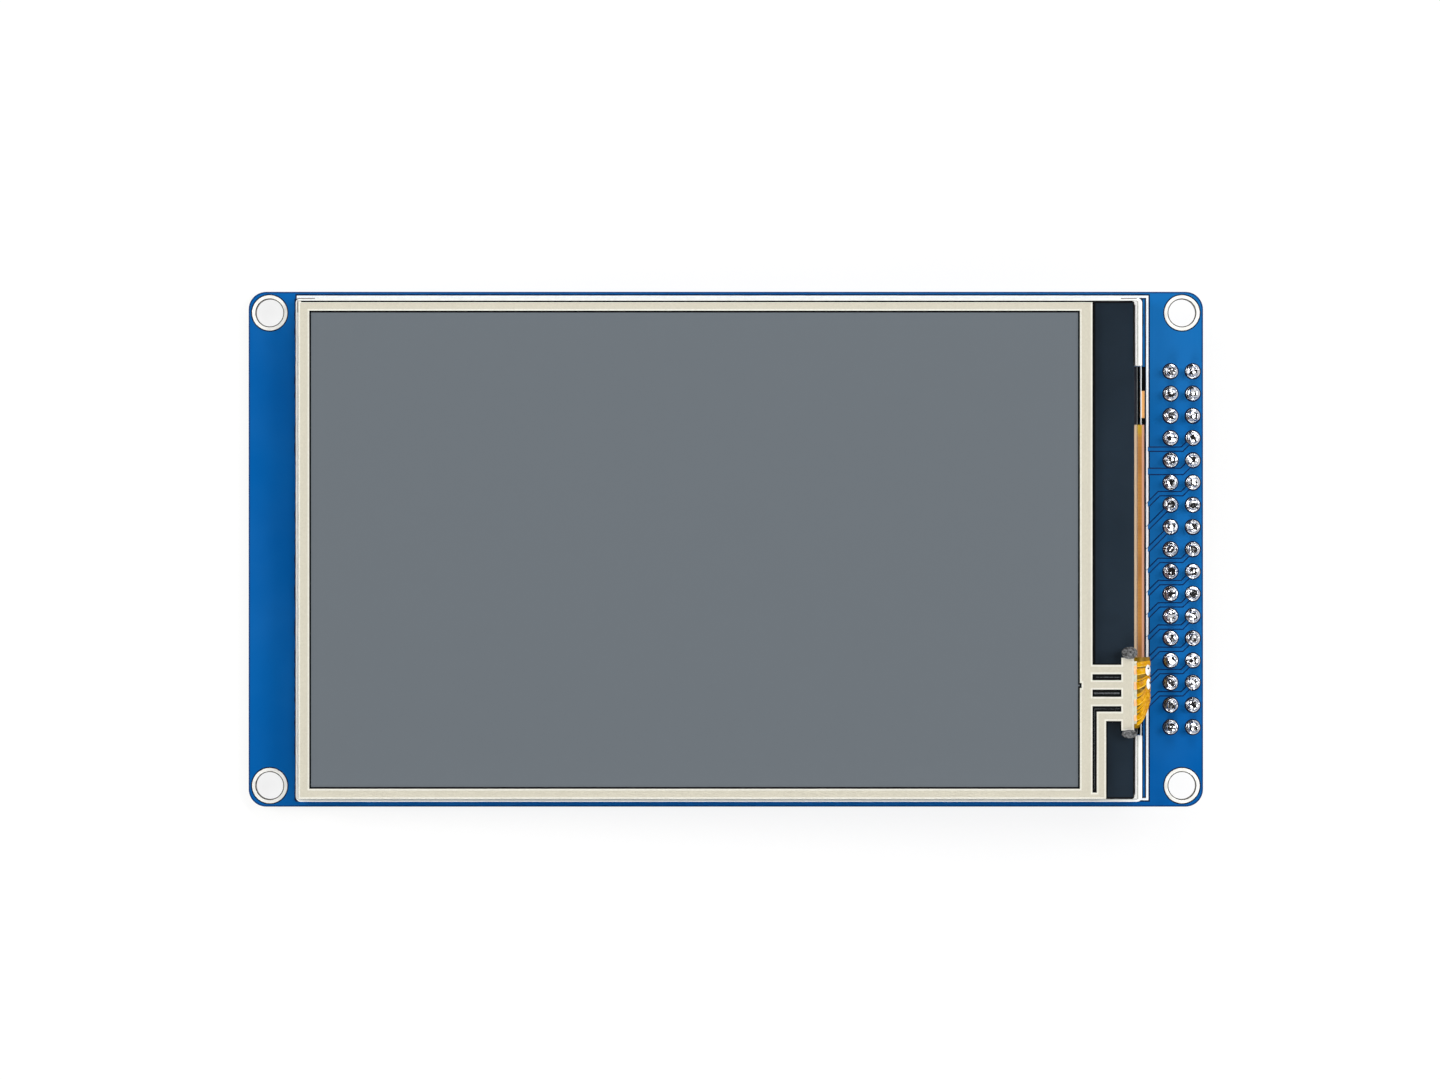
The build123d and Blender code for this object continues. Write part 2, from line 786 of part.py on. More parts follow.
# Touch tail: bonded beside the pad, tapering as it bends down to a narrow ribbon
tail_top_z = border_z + flex_thickness
tail_middle_z = (tail_top_z + board_thickness) / 2
tail_strip = flex_strip(
    film_right,
    touch_tail_end,
    touch_tail_reach,
    touch_tail_high,
    touch_tail_low,
    tail_top_z,
    flex_thickness,
)
taper_points = [
    (touch_right + touch_tail_overhang * along, touch_tail_low + (ribbon_low - touch_tail_low) * up)
    for along, up in zip(taper_length_share, taper_width_share)
]
with BuildPart() as touch_tail:
    add(tail_strip)
    with BuildSketch(Plane.XY.offset(tail_middle_z)):
        Polygon(
            *taper_points,
            (touch_tail_reach + overrun, ribbon_low),
            (touch_tail_reach + overrun, touch_tail_low - overrun),
            (taper_points[0][0], touch_tail_low - overrun),
            align=None,
        )
    extrude(amount=tail_top_z - tail_middle_z + overrun, mode=Mode.SUBTRACT)
    with BuildSketch(Plane.XY.offset(board_thickness - overrun)):
        for cut_high, cut_low in (
            (touch_tail_high + overrun, ribbon_high),
            (ribbon_low, touch_tail_low - overrun),
        ):
            with Locations((touch_tail_reach - touch_tail_return / 2, (cut_high + cut_low) / 2)):
                Rectangle(touch_tail_return + 2 * overrun, cut_high - cut_low)
    extrude(amount=tail_middle_z - board_thickness + overrun, mode=Mode.SUBTRACT)
write(touch_tail.part, "touch_tail")

# Display flex circuit, bonded on the ledge and bent down to the board
display_flex = flex_strip(
    cell_right - display_flex_bond,
    display_flex_end,
    display_flex_reach,
    display_flex_high,
    display_flex_low,
    filter_glass_z + flex_thickness,
    flex_thickness,
)
write(display_flex, "display_flex")


def solder_bars(name, end_x, high, low):
    """Row of solder bars against the soldered end of a flex circuit."""
    bar_count = int((high - low) / solder_bar_spacing)
    with BuildPart() as bars:
        with BuildSketch(Plane.XY.offset(board_thickness)):
            with Locations((end_x - solder_bar_length / 2, (high + low) / 2)):
                with GridLocations(0, solder_bar_spacing, 1, bar_count):
                    Rectangle(solder_bar_length, solder_bar_width)
        extrude(amount=solder_bar_height)
    write(bars.part, name)


solder_bars("display_flex_solder", display_flex_end, display_flex_high, display_flex_low)
solder_bars("touch_tail_solder", touch_tail_end, ribbon_high, ribbon_low)
solder_bars("led_flex_solder", led_tail_end, led_tail_high, led_tail_low)

# Glue dabs above and below the bond pad, low domes on the film
glue_dabs = {
    "glue_dab_upper": (bond_pad_high + upper_glue_width / 2, upper_glue_width),
    "glue_dab_lower": (bond_pad_low - lower_glue_width / 2, lower_glue_width),
}
for name, (glue_y, glue_width) in glue_dabs.items():
    with BuildPart() as dab:
        with BuildSketch(Plane.XY.offset(film_top_z)):
            with Locations(((bond_pad_left + film_right) / 2, glue_y)):
                RectangleRounded(bond_pad_length, glue_width, glue_width * glue_corner_share)
        extrude(amount=glue_height)
        fillet(dab.faces().sort_by(Axis.Z)[-1].edges(), glue_height * glue_round_share)
    write(dab.part, name)


def gull_wing_package(name, centre, body, span, lead_width, lead_spacing, leads_per_side):
    """A moulded body on the back face with two rows of leads along its X sides."""
    length, width, height = body
    with BuildPart() as package:
        with BuildSketch(Plane.XY.offset(-body_standoff)):
            with Locations(centre):
                Rectangle(width, length)
        extrude(amount=-height / 2, taper=-package_draft)
        with BuildSketch(Plane.XY.offset(-body_standoff - height)):
            with Locations(centre):
                Rectangle(width, length)
        extrude(amount=height / 2, taper=-package_draft)
    write(package.part, f"{name}_body")
    shoulder_z = -body_standoff - height / 2 + lead_thickness / 2
    shoulder_low_z = shoulder_z - lead_thickness
    body_edge = width / 2 + package_lead_gap
    knee = span / 2 - lead_foot
    with BuildPart() as leads:
        for side, count in zip((1, -1), leads_per_side):
            for index in range(count):
                lead_y = centre[1] + ((count - 1) / 2 - index) * lead_spacing
                with BuildSketch(Plane.XZ.offset(-lead_y - lead_width / 2)):
                    with BuildLine():
                        Polyline(
                            (centre[0] + side * body_edge, shoulder_z),
                            (centre[0] + side * knee, shoulder_z),
                            (centre[0] + side * knee, 0),
                            (centre[0] + side * span / 2, 0),
                            (centre[0] + side * span / 2, -lead_thickness),
                            (centre[0] + side * (knee + lead_thickness), -lead_thickness),
                            (centre[0] + side * (knee + lead_thickness), shoulder_low_z),
                            (centre[0] + side * body_edge, shoulder_low_z),
                            close=True,
                        )
                    make_face()
                extrude(amount=lead_width)
    write(leads.part, f"{name}_leads")


# Back face: touch controller, voltage regulator and backlight driver
gull_wing_package(
    "touch_controller", (controller_x, controller_y), controller_body,
    controller_span, controller_lead_width, controller_lead_spacing,
    (controller_leads_per_side, controller_leads_per_side),
)
gull_wing_package(
    "voltage_regulator", (regulator_x, supply_row_y), regulator_body,
    regulator_span, regulator_lead_width, regulator_lead_spacing, (3, 1),
)
gull_wing_package(
    "backlight_driver", (driver_x, supply_row_y), driver_body,
    driver_span, driver_lead_width, driver_lead_spacing, (3, 2),
)

# Boost inductor: a square ferrite block on two end plates
with BuildPart() as inductor_core:
    with BuildSketch(Plane.XY.offset(-inductor_plate_thickness)):
        with Locations((inductor_x, supply_row_y)):
            RectangleRounded(inductor_side, inductor_side, inductor_corner_radius)
    extrude(amount=-inductor_height)
write(inductor_core.part, "boost_inductor_core")
with BuildPart() as inductor_plates:
    with BuildSketch():
        with Locations((inductor_x, supply_row_y)):
            with GridLocations(inductor_side - inductor_plate_width, 0, 2, 1):
                Rectangle(inductor_plate_width, inductor_side - 2 * inductor_corner_radius)
    extrude(amount=-inductor_plate_thickness)
write(inductor_plates.part, "boost_inductor_plates")

# Boost diode: a moulded block between two folded plates
with BuildPart() as diode:
    with BuildSketch():
        with Locations((diode_x, supply_row_y)):
            Rectangle(diode_length, diode_width)
    extrude(amount=-diode_height)
write(diode.part, "boost_diode_body")
with BuildPart() as diode_plates:
    with BuildSketch():
        with Locations((diode_x, supply_row_y)):
            with GridLocations(diode_length + terminal_length, 0, 2, 1):
                Rectangle(terminal_length, diode_width / 2)
    extrude(amount=-diode_height / 2)
write(diode_plates.part, "boost_diode_plates")

# Chip capacitors and resistors, each a small block with a metal cap at both ends
chip_columns = {
    "chip_capacitors": (capacitor_x, capacitor_count, capacitor_height),
    "chip_resistors": (resistor_x, resistor_count, resistor_height),
}
with BuildPart() as chip_terminals:
    for column_x, count, height in chip_columns.values():
        with BuildSketch():
            with Locations((column_x, controller_y)):
                with GridLocations(0, chip_row_spacing, 1, count):
                    with GridLocations(chip_length - terminal_length, 0, 2, 1):
                        Rectangle(terminal_length, chip_width)
        extrude(amount=-height)
write(chip_terminals.part, "chip_terminals")
for name, (column_x, count, height) in chip_columns.items():
    with BuildPart() as chips:
        with BuildSketch():
            with Locations((column_x, controller_y)):
                with GridLocations(0, chip_row_spacing, 1, count):
                    Rectangle(chip_length - 2 * terminal_length, chip_width)
        extrude(amount=-height)
    write(chips.part, name)

# Plain printed marks on the back: a line past each end of the header, a triangle at pin one
mark_left = header_edge_x - mark_gap
with BuildPart() as back_marks:
    with BuildSketch():
        with Locations(((mark_left + header_x) / 2, 0)):
            with GridLocations(0, header_length + 2 * mark_gap, 1, 2):
                Rectangle(header_x - mark_left, print_line_width)
        with Locations((mark_left - mark_radius, first_row_y)):
            RegularPolygon(mark_radius, 3)
    extrude(amount=-print_thickness)
write(back_marks.part, "back_marks")
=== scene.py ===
"""Looks of a flat colour display module: a touch panel on a blue board with a pin header.

The frame is in metres; sizes below are in millimetres. +Z points out of the screen, +X towards
the header and +Y towards the screen's top edge.
"""

from __future__ import annotations

import logging
import math
import random
from dataclasses import dataclass, field
from enum import Enum
from typing import Any, Iterable, Sequence

import bmesh
import bpy
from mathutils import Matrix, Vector, noise

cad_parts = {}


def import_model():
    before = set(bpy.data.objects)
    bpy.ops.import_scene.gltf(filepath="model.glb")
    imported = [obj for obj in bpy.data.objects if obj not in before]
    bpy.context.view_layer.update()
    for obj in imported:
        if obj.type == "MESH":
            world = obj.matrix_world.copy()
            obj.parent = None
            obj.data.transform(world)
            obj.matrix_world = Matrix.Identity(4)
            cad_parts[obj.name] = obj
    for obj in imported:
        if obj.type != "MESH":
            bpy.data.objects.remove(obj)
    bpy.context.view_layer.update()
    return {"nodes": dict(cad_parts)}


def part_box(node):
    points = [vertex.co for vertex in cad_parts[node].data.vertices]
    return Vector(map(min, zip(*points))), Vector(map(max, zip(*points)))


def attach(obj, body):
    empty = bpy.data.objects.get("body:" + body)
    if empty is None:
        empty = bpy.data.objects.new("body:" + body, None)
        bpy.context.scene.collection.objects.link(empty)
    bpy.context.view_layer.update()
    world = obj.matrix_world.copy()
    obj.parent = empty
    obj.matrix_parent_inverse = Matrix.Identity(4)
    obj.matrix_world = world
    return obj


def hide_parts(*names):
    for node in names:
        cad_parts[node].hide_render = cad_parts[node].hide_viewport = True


MM = 0.001
LOG = logging.getLogger("display_module")

Rgb = tuple[int, int, int]
Colour = tuple[float, float, float, float]
Point = tuple[float, float]
Span = tuple[float, float]
Place = tuple[float, float, float]
Edges = tuple[float, float, float, float]

# Levels of detail of the noise patterns, and the span that most of their values fall in.
COARSE_DETAIL = 4.0
FINE_DETAIL = 2.0
NOISE_SPAN = (0.3, 0.7)

# Distances under which corners are joined, in a new mesh and in a copied one.
WELD = 0.0005
COPY_WELD = 0.001

# Angles in degrees: between faces that count as one, from which an edge is rounded, and from
# which an edge looks sharp.
FLAT_ANGLE = 1.0
EDGE_ANGLE = 30.0
CREASE_ANGLE = 38.0

# Least cosine of half the turn at a path's corner, which keeps its mitre short.
SHARPEST_MITRE = 0.3

# How many faces go round a turned shape and over a rounded edge, and the rounding's fullness.
TURNED_SEGMENTS = 48
ROUNDING_SEGMENTS = 2
ROUNDING_PROFILE = 0.5


class Side(Enum):
    """The two faces of the circuit board, by the way that they look."""

    FRONT = 1
    BACK = -1


def linear(colour: Rgb) -> Colour:
    """Turn an sRGB colour into the linear colour that a shader takes.

    Args:
        colour: red, green and blue from 0 to 255.

    Returns:
        Linear red, green and blue from 0 to 1, with full opacity.
    """
    shares = [part / 255 for part in colour]
    parts = [s / 12.92 if s <= 0.04045 else ((s + 0.055) / 1.055) ** 2.4 for s in shares]
    return (*parts, 1.0)


class Graph:
    """The node tree of a material or a world while it is being built."""

    def __init__(self, owner: bpy.types.ID, output: str = "OutputMaterial") -> None:
        """Start with the output alone.

        Args:
            owner: the material or world.
            output: type of the output node without its ShaderNode prefix.
        """
        owner.use_nodes = True
        self.owner = owner
        self.tree = owner.node_tree
        self.tree.nodes.clear()
        self.output = self.tree.nodes.new(f"ShaderNode{output}")

    def add(self, kind: str, inputs: dict[Any, Any], **settings: Any) -> bpy.types.Node:
        """Add a node, and give its inputs a value or a link.

        Args:
            kind: the node's type without its ShaderNode prefix.
            inputs: values, colours or output sockets by input name or number.
            settings: the node's own properties.

        Returns:
            The new node.
        """
        node = self.tree.nodes.new(f"ShaderNode{kind}")
        for key, value in settings.items():
            setattr(node, key, value)
        for key, value in inputs.items():
            if isinstance(value, bpy.types.NodeSocket):
                self.tree.links.new(value, node.inputs[key])
            else:
                node.inputs[key].default_value = value
        return node

    def place(self) -> bpy.types.NodeSocket:
        """Return the place on the object, in metres."""
        return self.add("TexCoord", {}).outputs["Object"]

    def axis(self, name: str) -> bpy.types.NodeSocket:
        """Return one coordinate of the place on the object, in millimetres."""
        parts = self.add("SeparateXYZ", {0: self.place()})
        return self.math("DIVIDE", parts.outputs[name], MM)

    def normal_axis(self, name: str) -> bpy.types.NodeSocket:
        """Return one coordinate of the surface's normal."""
        geometry = self.add("NewGeometry", {})
        return self.add("SeparateXYZ", {0: geometry.outputs["Normal"]}).outputs[name]

    def noise(self, grain: float, detail: float = FINE_DETAIL) -> bpy.types.NodeSocket:
        """Return a noise pattern.

        Args:
            grain: width of the pattern's spots in millimetres.
            detail: how many finer patterns lie over the first.

        Returns:
            The pattern's value.
        """
        pattern = self.add(
            "TexNoise", {"Vector": self.place(), "Scale": 1 / (grain * MM), "Detail": detail}
        )
        return pattern.outputs["Fac"]

    def math(self, operation: str, *values: Any) -> bpy.types.NodeSocket:
        """Return the result of one arithmetic operation."""
        return self.add("Math", dict(enumerate(values)), operation=operation).outputs[0]

    def rise(self, value: Any, start: float, end: float) -> bpy.types.NodeSocket:
        """Return 0 for a value up to start and 1 for one from end on, smooth between them."""
        return self.change(value, (start, end), (0.0, 1.0), smooth=True)

    def change(
        self, value: Any, span: Span, levels: Span, smooth: bool = False
    ) -> bpy.types.NodeSocket:
        """Turn a value's span into another one.

        Args:
            value: the value.
            span: start and end of its span.
            levels: the results there.
            smooth: whether the result changes smoothly at both ends.

        Returns:
            The result.
        """
        names = ("From Min", "From Max", "To Min", "To Max")
        inputs = {"Value": value, **dict(zip(names, (*span, *levels)))}
        curve = "SMOOTHSTEP" if smooth else "LINEAR"
        return self.add("MapRange", inputs, interpolation_type=curve).outputs[0]

    def between(self, value: Any, low: float, high: float) -> bpy.types.NodeSocket:
        """Return a noise pattern's value spread over low to high."""
        return self.change(value, NOISE_SPAN, (low, high))

    def blend(self, share: Any, first: Any, second: Any) -> bpy.types.NodeSocket:
        """Return a mix of two colours.

        Args:
            share: share of the second colour.
            first: the first colour, an sRGB triple or a socket.
            second: the second colour, likewise.

        Returns:
            The mixed colour.
        """
        sides = [linear(side) if isinstance(side, tuple) else side for side in (first, second)]
        inputs = {0: share, 6: sides[0], 7: sides[1]}
        return self.add("Mix", inputs, data_type="RGBA").outputs[2]

    def finish(self, shader: bpy.types.NodeSocket) -> bpy.types.ID:
        """Send a shader to the output and return the material or world."""
        self.tree.links.new(shader, self.output.inputs["Surface"])
        return self.owner


@dataclass(frozen=True)
class Finish:
    """A surface with a grain in its colour, its gloss and its height.

    Attributes:
        name: name of the material.
        dark: colour of the darker grain.
        light: colour of the lighter grain.
        grain: width of the grain in millimetres.
        roughness: lowest and highest roughness.
        metallic: how metallic the surface is.
        specular: how much a surface that isn't metal reflects.
        bump: height of the grain in millimetres.
    """

    name: str
    dark: Rgb
    light: Rgb
    grain: float = 0.5
    roughness: Span = (0.4, 0.55)
    metallic: float = 0.0
    specular: float = 0.4
    bump: float = 0.004

    def material(self) -> bpy.types.Material:
        """Return the material, which is built the first time."""
        name = f"{self.name}_look"
        return bpy.data.materials.get(name) or self.build(Graph(bpy.data.materials.new(name)))

    def colour(self, graph: Graph) -> bpy.types.NodeSocket:
        """Return the surface's colour."""
        coarse = graph.noise(self.grain, COARSE_DETAIL)
        return graph.blend(graph.between(coarse, 0.0, 1.0), self.dark, self.light)

    def build(self, graph: Graph) -> bpy.types.Material:
        """Build the material's nodes.

        Args:
            graph: the material's nodes, of which only the output is there.

        Returns:
            The material.
        """
        fine = graph.noise(self.grain / 2)
        bump = graph.add("Bump", {"Distance": self.bump * MM, "Height": fine})
        inputs = {
            "Base Color": self.colour(graph),
            "Roughness": graph.between(fine, *self.roughness),
            "Normal": bump.outputs[0],
            "Metallic": self.metallic,
            "Specular IOR Level": self.specular,
        }
        return graph.finish(graph.add("BsdfPrincipled", inputs).outputs[0])


@dataclass(frozen=True)
class MaskFinish(Finish):
    """Solder mask: lighter over the raised tracks, and bare laminate round the board's edge.

    Attributes:
        track: colour of the mask over a track.
        laminate: colour of the board's cut edge.
        shade: colour of the mask round the middle of the header, painted in for how the light falls
            there.
        upper: colour of the painted sheen on the mask above the header.
        track_level: height above which the mask lies on a track.
        shade_middle: X and Y of the middle of that area of painted light.
        shade_span: distances along Y at which the painted light starts to fade and has faded.
        upper_span: Y from which the painted sheen starts, and Y where it is full.
        edge_level: upright part of the normal under which a face is the board's cut edge.
    """

    track: Rgb = (12, 92, 158)
    laminate: Rgb = (150, 142, 96)
    # Painted light: the colour round the header's middle stands in for how the light falls there.
    shade: Rgb = (13, 95, 160)
    # Painted sheen: the upper colour stands in for light reflected by the mask above the header.
    upper: Rgb = (17, 98, 163)
    track_level: float = 1.62
    shade_middle: Point = (51.0, -1.0)
    shade_span: Span = (6.0, 24.0)
    upper_span: Span = (8.0, 22.0)
    edge_level: float = 0.5

    def colour(self, graph: Graph) -> bpy.types.NodeSocket:
        """Return the mask's colour.

        Args:
            graph: the material's nodes.

        Returns:
            The colour.
        """
        # Painted light round the middle of the header, fading along Y and towards -X.
        off_middle = graph.math("SUBTRACT", graph.axis("Y"), self.shade_middle[1])
        away = graph.rise(graph.math("ABSOLUTE", off_middle), *self.shade_span)
        near = graph.rise(graph.axis("X"), 0.0, self.shade_middle[0])
        inside = graph.math("MULTIPLY", graph.math("SUBTRACT", 1.0, away), near)
        mask = graph.blend(inside, super().colour(graph), self.shade)
        # Painted sheen above the header, towards +X.
        above = graph.math("MULTIPLY", graph.rise(graph.axis("Y"), *self.upper_span), near)
        mask = graph.blend(above, mask, self.upper)
        raised = graph.math("GREATER_THAN", graph.axis("Z"), self.track_level)
        covered = graph.blend(raised, mask, self.track)
        level = graph.math("ABSOLUTE", graph.normal_axis("Z"))
        return graph.blend(graph.math("LESS_THAN", level, self.edge_level), covered, self.laminate)


@dataclass(frozen=True)
class PlatedFinish(Finish):
    """A header pin: plated along its length, tinned where it comes through the board.

    Attributes:
        tinned: colour of the tinned end.
        tinned_from: height from which the pin is tinned.
    """

    tinned: Rgb = (205, 206, 208)
    tinned_from: float = 0.0

    def colour(self, graph: Graph) -> bpy.types.NodeSocket:
        """Return the pin's colour."""
        upper = graph.math("GREATER_THAN", graph.axis("Z"), self.tinned_from)
        return graph.blend(upper, super().colour(graph), self.tinned)


@dataclass(frozen=True)
class LedgeFinish(Finish):
    """Dark tape whose visible part, beside the border, has a black rim.

    Attributes:
        rim: colour of the rim, partly the glass's edge and partly painted shadow, and of the part under
            the border.
        edges: the visible part's left, right, bottom and top edges.
        rim_width: width of the rim.
        rim_core: share of that width in which the rim has its full colour.
        open_span: distance from the middle along Y within which the right edge has no rim.
    """

    # Black rim: partly the glass's edge, partly painted shadow in the gaps round the tape.
    rim: Rgb = (3, 3, 4)
    edges: Edges = (41.95, 46.5, -28.35, 28.18)
    rim_width: float = 0.16
    rim_core: float = 0.7
    open_span: float = 21.0

    def colour(self, graph: Graph) -> bpy.types.NodeSocket:
        """Return the tape's colour.

        Args:
            graph: the material's nodes.

        Returns:
            The colour.
        """
        left, right, bottom, top = self.edges
        width = self.rim_width
        core = width * self.rim_core
        across = graph.axis("X")
        along = graph.math("ABSOLUTE", graph.math("SUBTRACT", graph.axis("Y"), (bottom + top) / 2))
        half_along = (top - bottom) / 2
        beyond = graph.math("GREATER_THAN", along, self.open_span)
        # The black rim is partly the glass's edge and partly painted shadow.
        rims = (
            graph.math("SUBTRACT", 1.0, graph.rise(across, left + core, left + width)),
            graph.math("MULTIPLY", graph.rise(across, right - width, right - core), beyond),
            graph.rise(along, half_along - width, half_along - core),
        )
        outer = graph.math("MAXIMUM", graph.math("MAXIMUM", rims[0], rims[1]), rims[2])
        return graph.blend(outer, super().colour(graph), self.rim)


@dataclass(frozen=True)
class FlexFinish(Finish):
    """Flexible circuit: fine copper lines under an amber cover, in zones along X.

    Attributes:
        covered: colour up to the first zone's end, under the glass, painted lighter to offset the shade
            in that recess.
        outer: colour from the second zone's start.
        zones: X of the first zone's end and of the last zone's start.
        blends: width of the change of colour before each of those.
        line_spacing: spacing of the copper lines along Y.
        line_span: levels of the wave along Y between which a copper line shows.
        line: colour of the copper lines.
        line_share: how strongly the copper lines show.
        crest: colour of the circuit's upper end.
        crest_span: Y from which that colour starts, and Y where it is full.
    """

    # Painted light: the part under the glass is coloured lighter to offset the shade in its recess.
    covered: Rgb = (214, 186, 154)
    outer: Rgb = (205, 150, 120)
    zones: Point = (46.85, 47.5)
    blends: Point = (0.1, 0.15)
    line_spacing: float = 0.36
    line_span: Span = (-0.2, 0.6)
    line: Rgb = (150, 92, 40)
    line_share: float = 0.25
    crest: Rgb = (176, 138, 16)
    crest_span: Span = (12.6, 13.6)

    def colour(self, graph: Graph) -> bpy.types.NodeSocket:
        """Return the circuit's colour.

        Args:
            graph: the material's nodes.

        Returns:
            The colour.
        """
        turns = graph.math("MULTIPLY", graph.axis("Y"), math.tau / self.line_spacing)
        wave = graph.rise(graph.math("SINE", turns), *self.line_span)
        lines = graph.math("MULTIPLY", wave, self.line_share)
        lined = graph.blend(lines, super().colour(graph), self.line)
        upper = graph.rise(graph.axis("Y"), *self.crest_span)
        lined = graph.blend(upper, lined, self.crest)
        across = graph.axis("X")
        bare, rim = [
            graph.rise(across, zone - blend, zone) for zone, blend in zip(self.zones, self.blends)
        ]
        return graph.blend(rim, graph.blend(bare, self.covered, lined), self.outer)


@dataclass(frozen=True)
class ClearFinish(Finish):
    """A clear sheet: what is below shows through it, under a faint haze and a soft gloss.

    Attributes:
        tint: colour that light takes on at each face.
        haze: share of the light that the sheet scatters.
        gloss: how strongly its faces reflect, against bare glass.
        index: refractive index of its faces.
    """

    tint: Rgb = (255, 255, 255)
    haze: float = 0.02
    gloss: float = 0.35
    index: float = 1.45

    def build(self, graph: Graph) -> bpy.types.Material:
        """Build the material's nodes.

        Args:
            graph: the material's nodes, of which only the output is there.

        Returns:
            The material.
        """
        fine = graph.noise(self.grain)
        bump = graph.add("Bump", {"Distance": self.bump * MM, "Height": fine}).outputs[0]
        gloss_inputs = {"Roughness": graph.between(fine, *self.roughness), "Normal": bump}
        shine = graph.add("BsdfAnisotropic", gloss_inputs).outputs[0]
        through = graph.add("BsdfTransparent", {"Color": linear(self.tint)}).outputs[0]
        edge = graph.add("Fresnel", {"IOR": self.index, "Normal": bump}).outputs[0]
        share = graph.math("MULTIPLY", edge, self.gloss)
        sheet = graph.add("MixShader", {0: share, 1: through, 2: shine}).outputs[0]
        scattered = graph.add("BsdfDiffuse", {"Color": self.colour(graph)}).outputs[0]
        hazy = graph.add("MixShader", {0: self.haze, 1: sheet, 2: scattered})
        return graph.finish(hazy.outputs[0])


@dataclass(frozen=True)
class FloorFinish(Finish):
    """A white floor that still shows the object's shadow.

    Attributes:
        glow: brightness that the floor has of itself in sight and in reflections.
    """

    glow: float = 0.84

    def build(self, graph: Graph) -> bpy.types.Material:
        """Build the material's nodes.

        Args:
            graph: the material's nodes, of which only the output is there.

        Returns:
            The material.
        """
        path = graph.add("LightPath", {})
        mirrored = graph.math(
            "MAXIMUM", path.outputs["Is Glossy Ray"], path.outputs["Is Transmission Ray"]
        )
        seen = graph.math("MAXIMUM", path.outputs["Is Camera Ray"], mirrored)
        matt = graph.add("BsdfDiffuse", {"Color": self.colour(graph)}).outputs[0]
        bright = graph.add("Emission", {"Color": (1, 1, 1, 1)}).outputs[0]
        share = graph.math("MULTIPLY", seen, self.glow)
        return graph.finish(graph.add("MixShader", {0: share, 1: matt, 2: bright}).outputs[0])


BOARD_MASK = MaskFinish(
    "mask_blue", (0, 81, 150), (4, 90, 159), 12.0, (0.28, 0.4), specular=0.15, bump=0.002
)
# Painted shade: the mask's slopes beside the tracks are coloured darker for the shade along the tracks'
# edges.
TRACK_EDGE_SHADE = Finish("track_edge_shade", (0, 26, 64), (3, 36, 82), 0.6, (0.3, 0.45), specular=0.15)
# Dark painted shade: rings round the joints and the holes, partly their real mask gaps and partly
# painted shadow; the painted shadow beside the printed line and at the frame's foot; and the dark spots
# of the painted glints on the tail.
DARK_RING = Finish("dark_ring", (3, 12, 34), (10, 24, 56), 0.6, (0.4, 0.55), specular=0.2)
# A darker blue strip along the board's edge.
DARK_EDGE_STRIP = Finish("dark_edge_strip", (2, 48, 98), (8, 60, 116), 0.8, (0.5, 0.7), specular=0.1)
# Tinned lands; the same finish paints the glints on the touch tail's bend.
TIN_LAND_AND_GLINT = Finish("tin_land_and_glint", (228, 227, 221), (248, 247, 243), 1.4, (0.3, 0.4), 0.1, bump=0.004)
# Painted shade: the tinned barrel and the hole's rim are coloured dark for the shade inside the hole.
BARREL_SHADE = Finish("barrel_rim_shade", (26, 23, 21), (84, 78, 70), 0.5, (0.3, 0.45), 0.3)
SOLDER = Finish("solder", (206, 208, 214), (238, 238, 240), 0.4, (0.08, 0.2), 1.0, bump=0.003)
PIN_METAL = PlatedFinish("pin_metal", (198, 154, 84), (226, 186, 116), 0.8, (0.18, 0.3), 1.0)
HEADER_BLACK = Finish("header_black", (16, 16, 17), (28, 28, 30), 0.3, (0.42, 0.6), bump=0.01)
WHITE_PRINT = Finish("white_print", (226, 231, 236), (246, 249, 252), 0.15, (0.5, 0.7), bump=0.01)
FRAME_WHITE = Finish("frame_white", (240, 240, 236), (250, 250, 247), 0.5, (0.35, 0.5))
FRAME_SHADE = Finish("frame_shade", (196, 198, 190), (220, 220, 214), 0.4, (0.4, 0.6))
# Painted shadow: thin brown-grey lines along the frame's edges.
FRAME_SHADOW_LINE = Finish("frame_shadow_line", (80, 72, 66), (140, 132, 124), 0.3, (0.5, 0.7))
FOAM = Finish("foam_black", (10, 10, 10), (30, 30, 30), 0.15, (0.85, 0.95), bump=0.05)
REFLECTOR = Finish("reflector", (225, 228, 230), (246, 248, 250), 1.2, (0.15, 0.25))
GUIDE = ClearFinish("guide_clear", (226, 232, 236), (240, 244, 248), 2.0, (0.05, 0.1), haze=0.1)
OPTICAL = Finish("optical_film", (214, 218, 222), (232, 236, 240), 0.1, (0.4, 0.5))
LEDGE_TAPE = LedgeFinish("ledge_tape", (23, 35, 46), (33, 46, 58), 14.0, (0.45, 0.6), specular=0.05)
TAPE_END = Finish("tape_end", (44, 47, 56), (58, 60, 68), 0.8, (0.45, 0.6), specular=0.1)
# Black tape; the same finish paints the black shadow in the frame's notch and the touch panel's shadow
# lines.
BLACK_TAPE_AND_SHADOW = Finish("black_tape_and_shadow", (1, 1, 2), (4, 4, 5), 0.2, (0.6, 0.75), specular=0.05)
CELL_GLASS = ClearFinish("cell_glass", (190, 205, 208), (214, 226, 228), 1.0, (0.02, 0.06), haze=0.12)
SCREEN = Finish("screen_grey", (128, 136, 144), (132, 140, 147), 0.12, (0.3, 0.38), specular=0.15)
CHIP = Finish("chip_silicon", (58, 58, 64), (78, 78, 84), 1.5, (0.1, 0.2), specular=0.6)
PANEL_GLASS = ClearFinish(
    "panel_glass", (196, 210, 206), (214, 226, 222), 3.0, (0.02, 0.05), haze=0.0, gloss=0.2
)
GROUND_EDGE = ClearFinish("ground_glass", (70, 74, 76), (150, 154, 154), 0.2, (0.4, 0.6), haze=0.4)
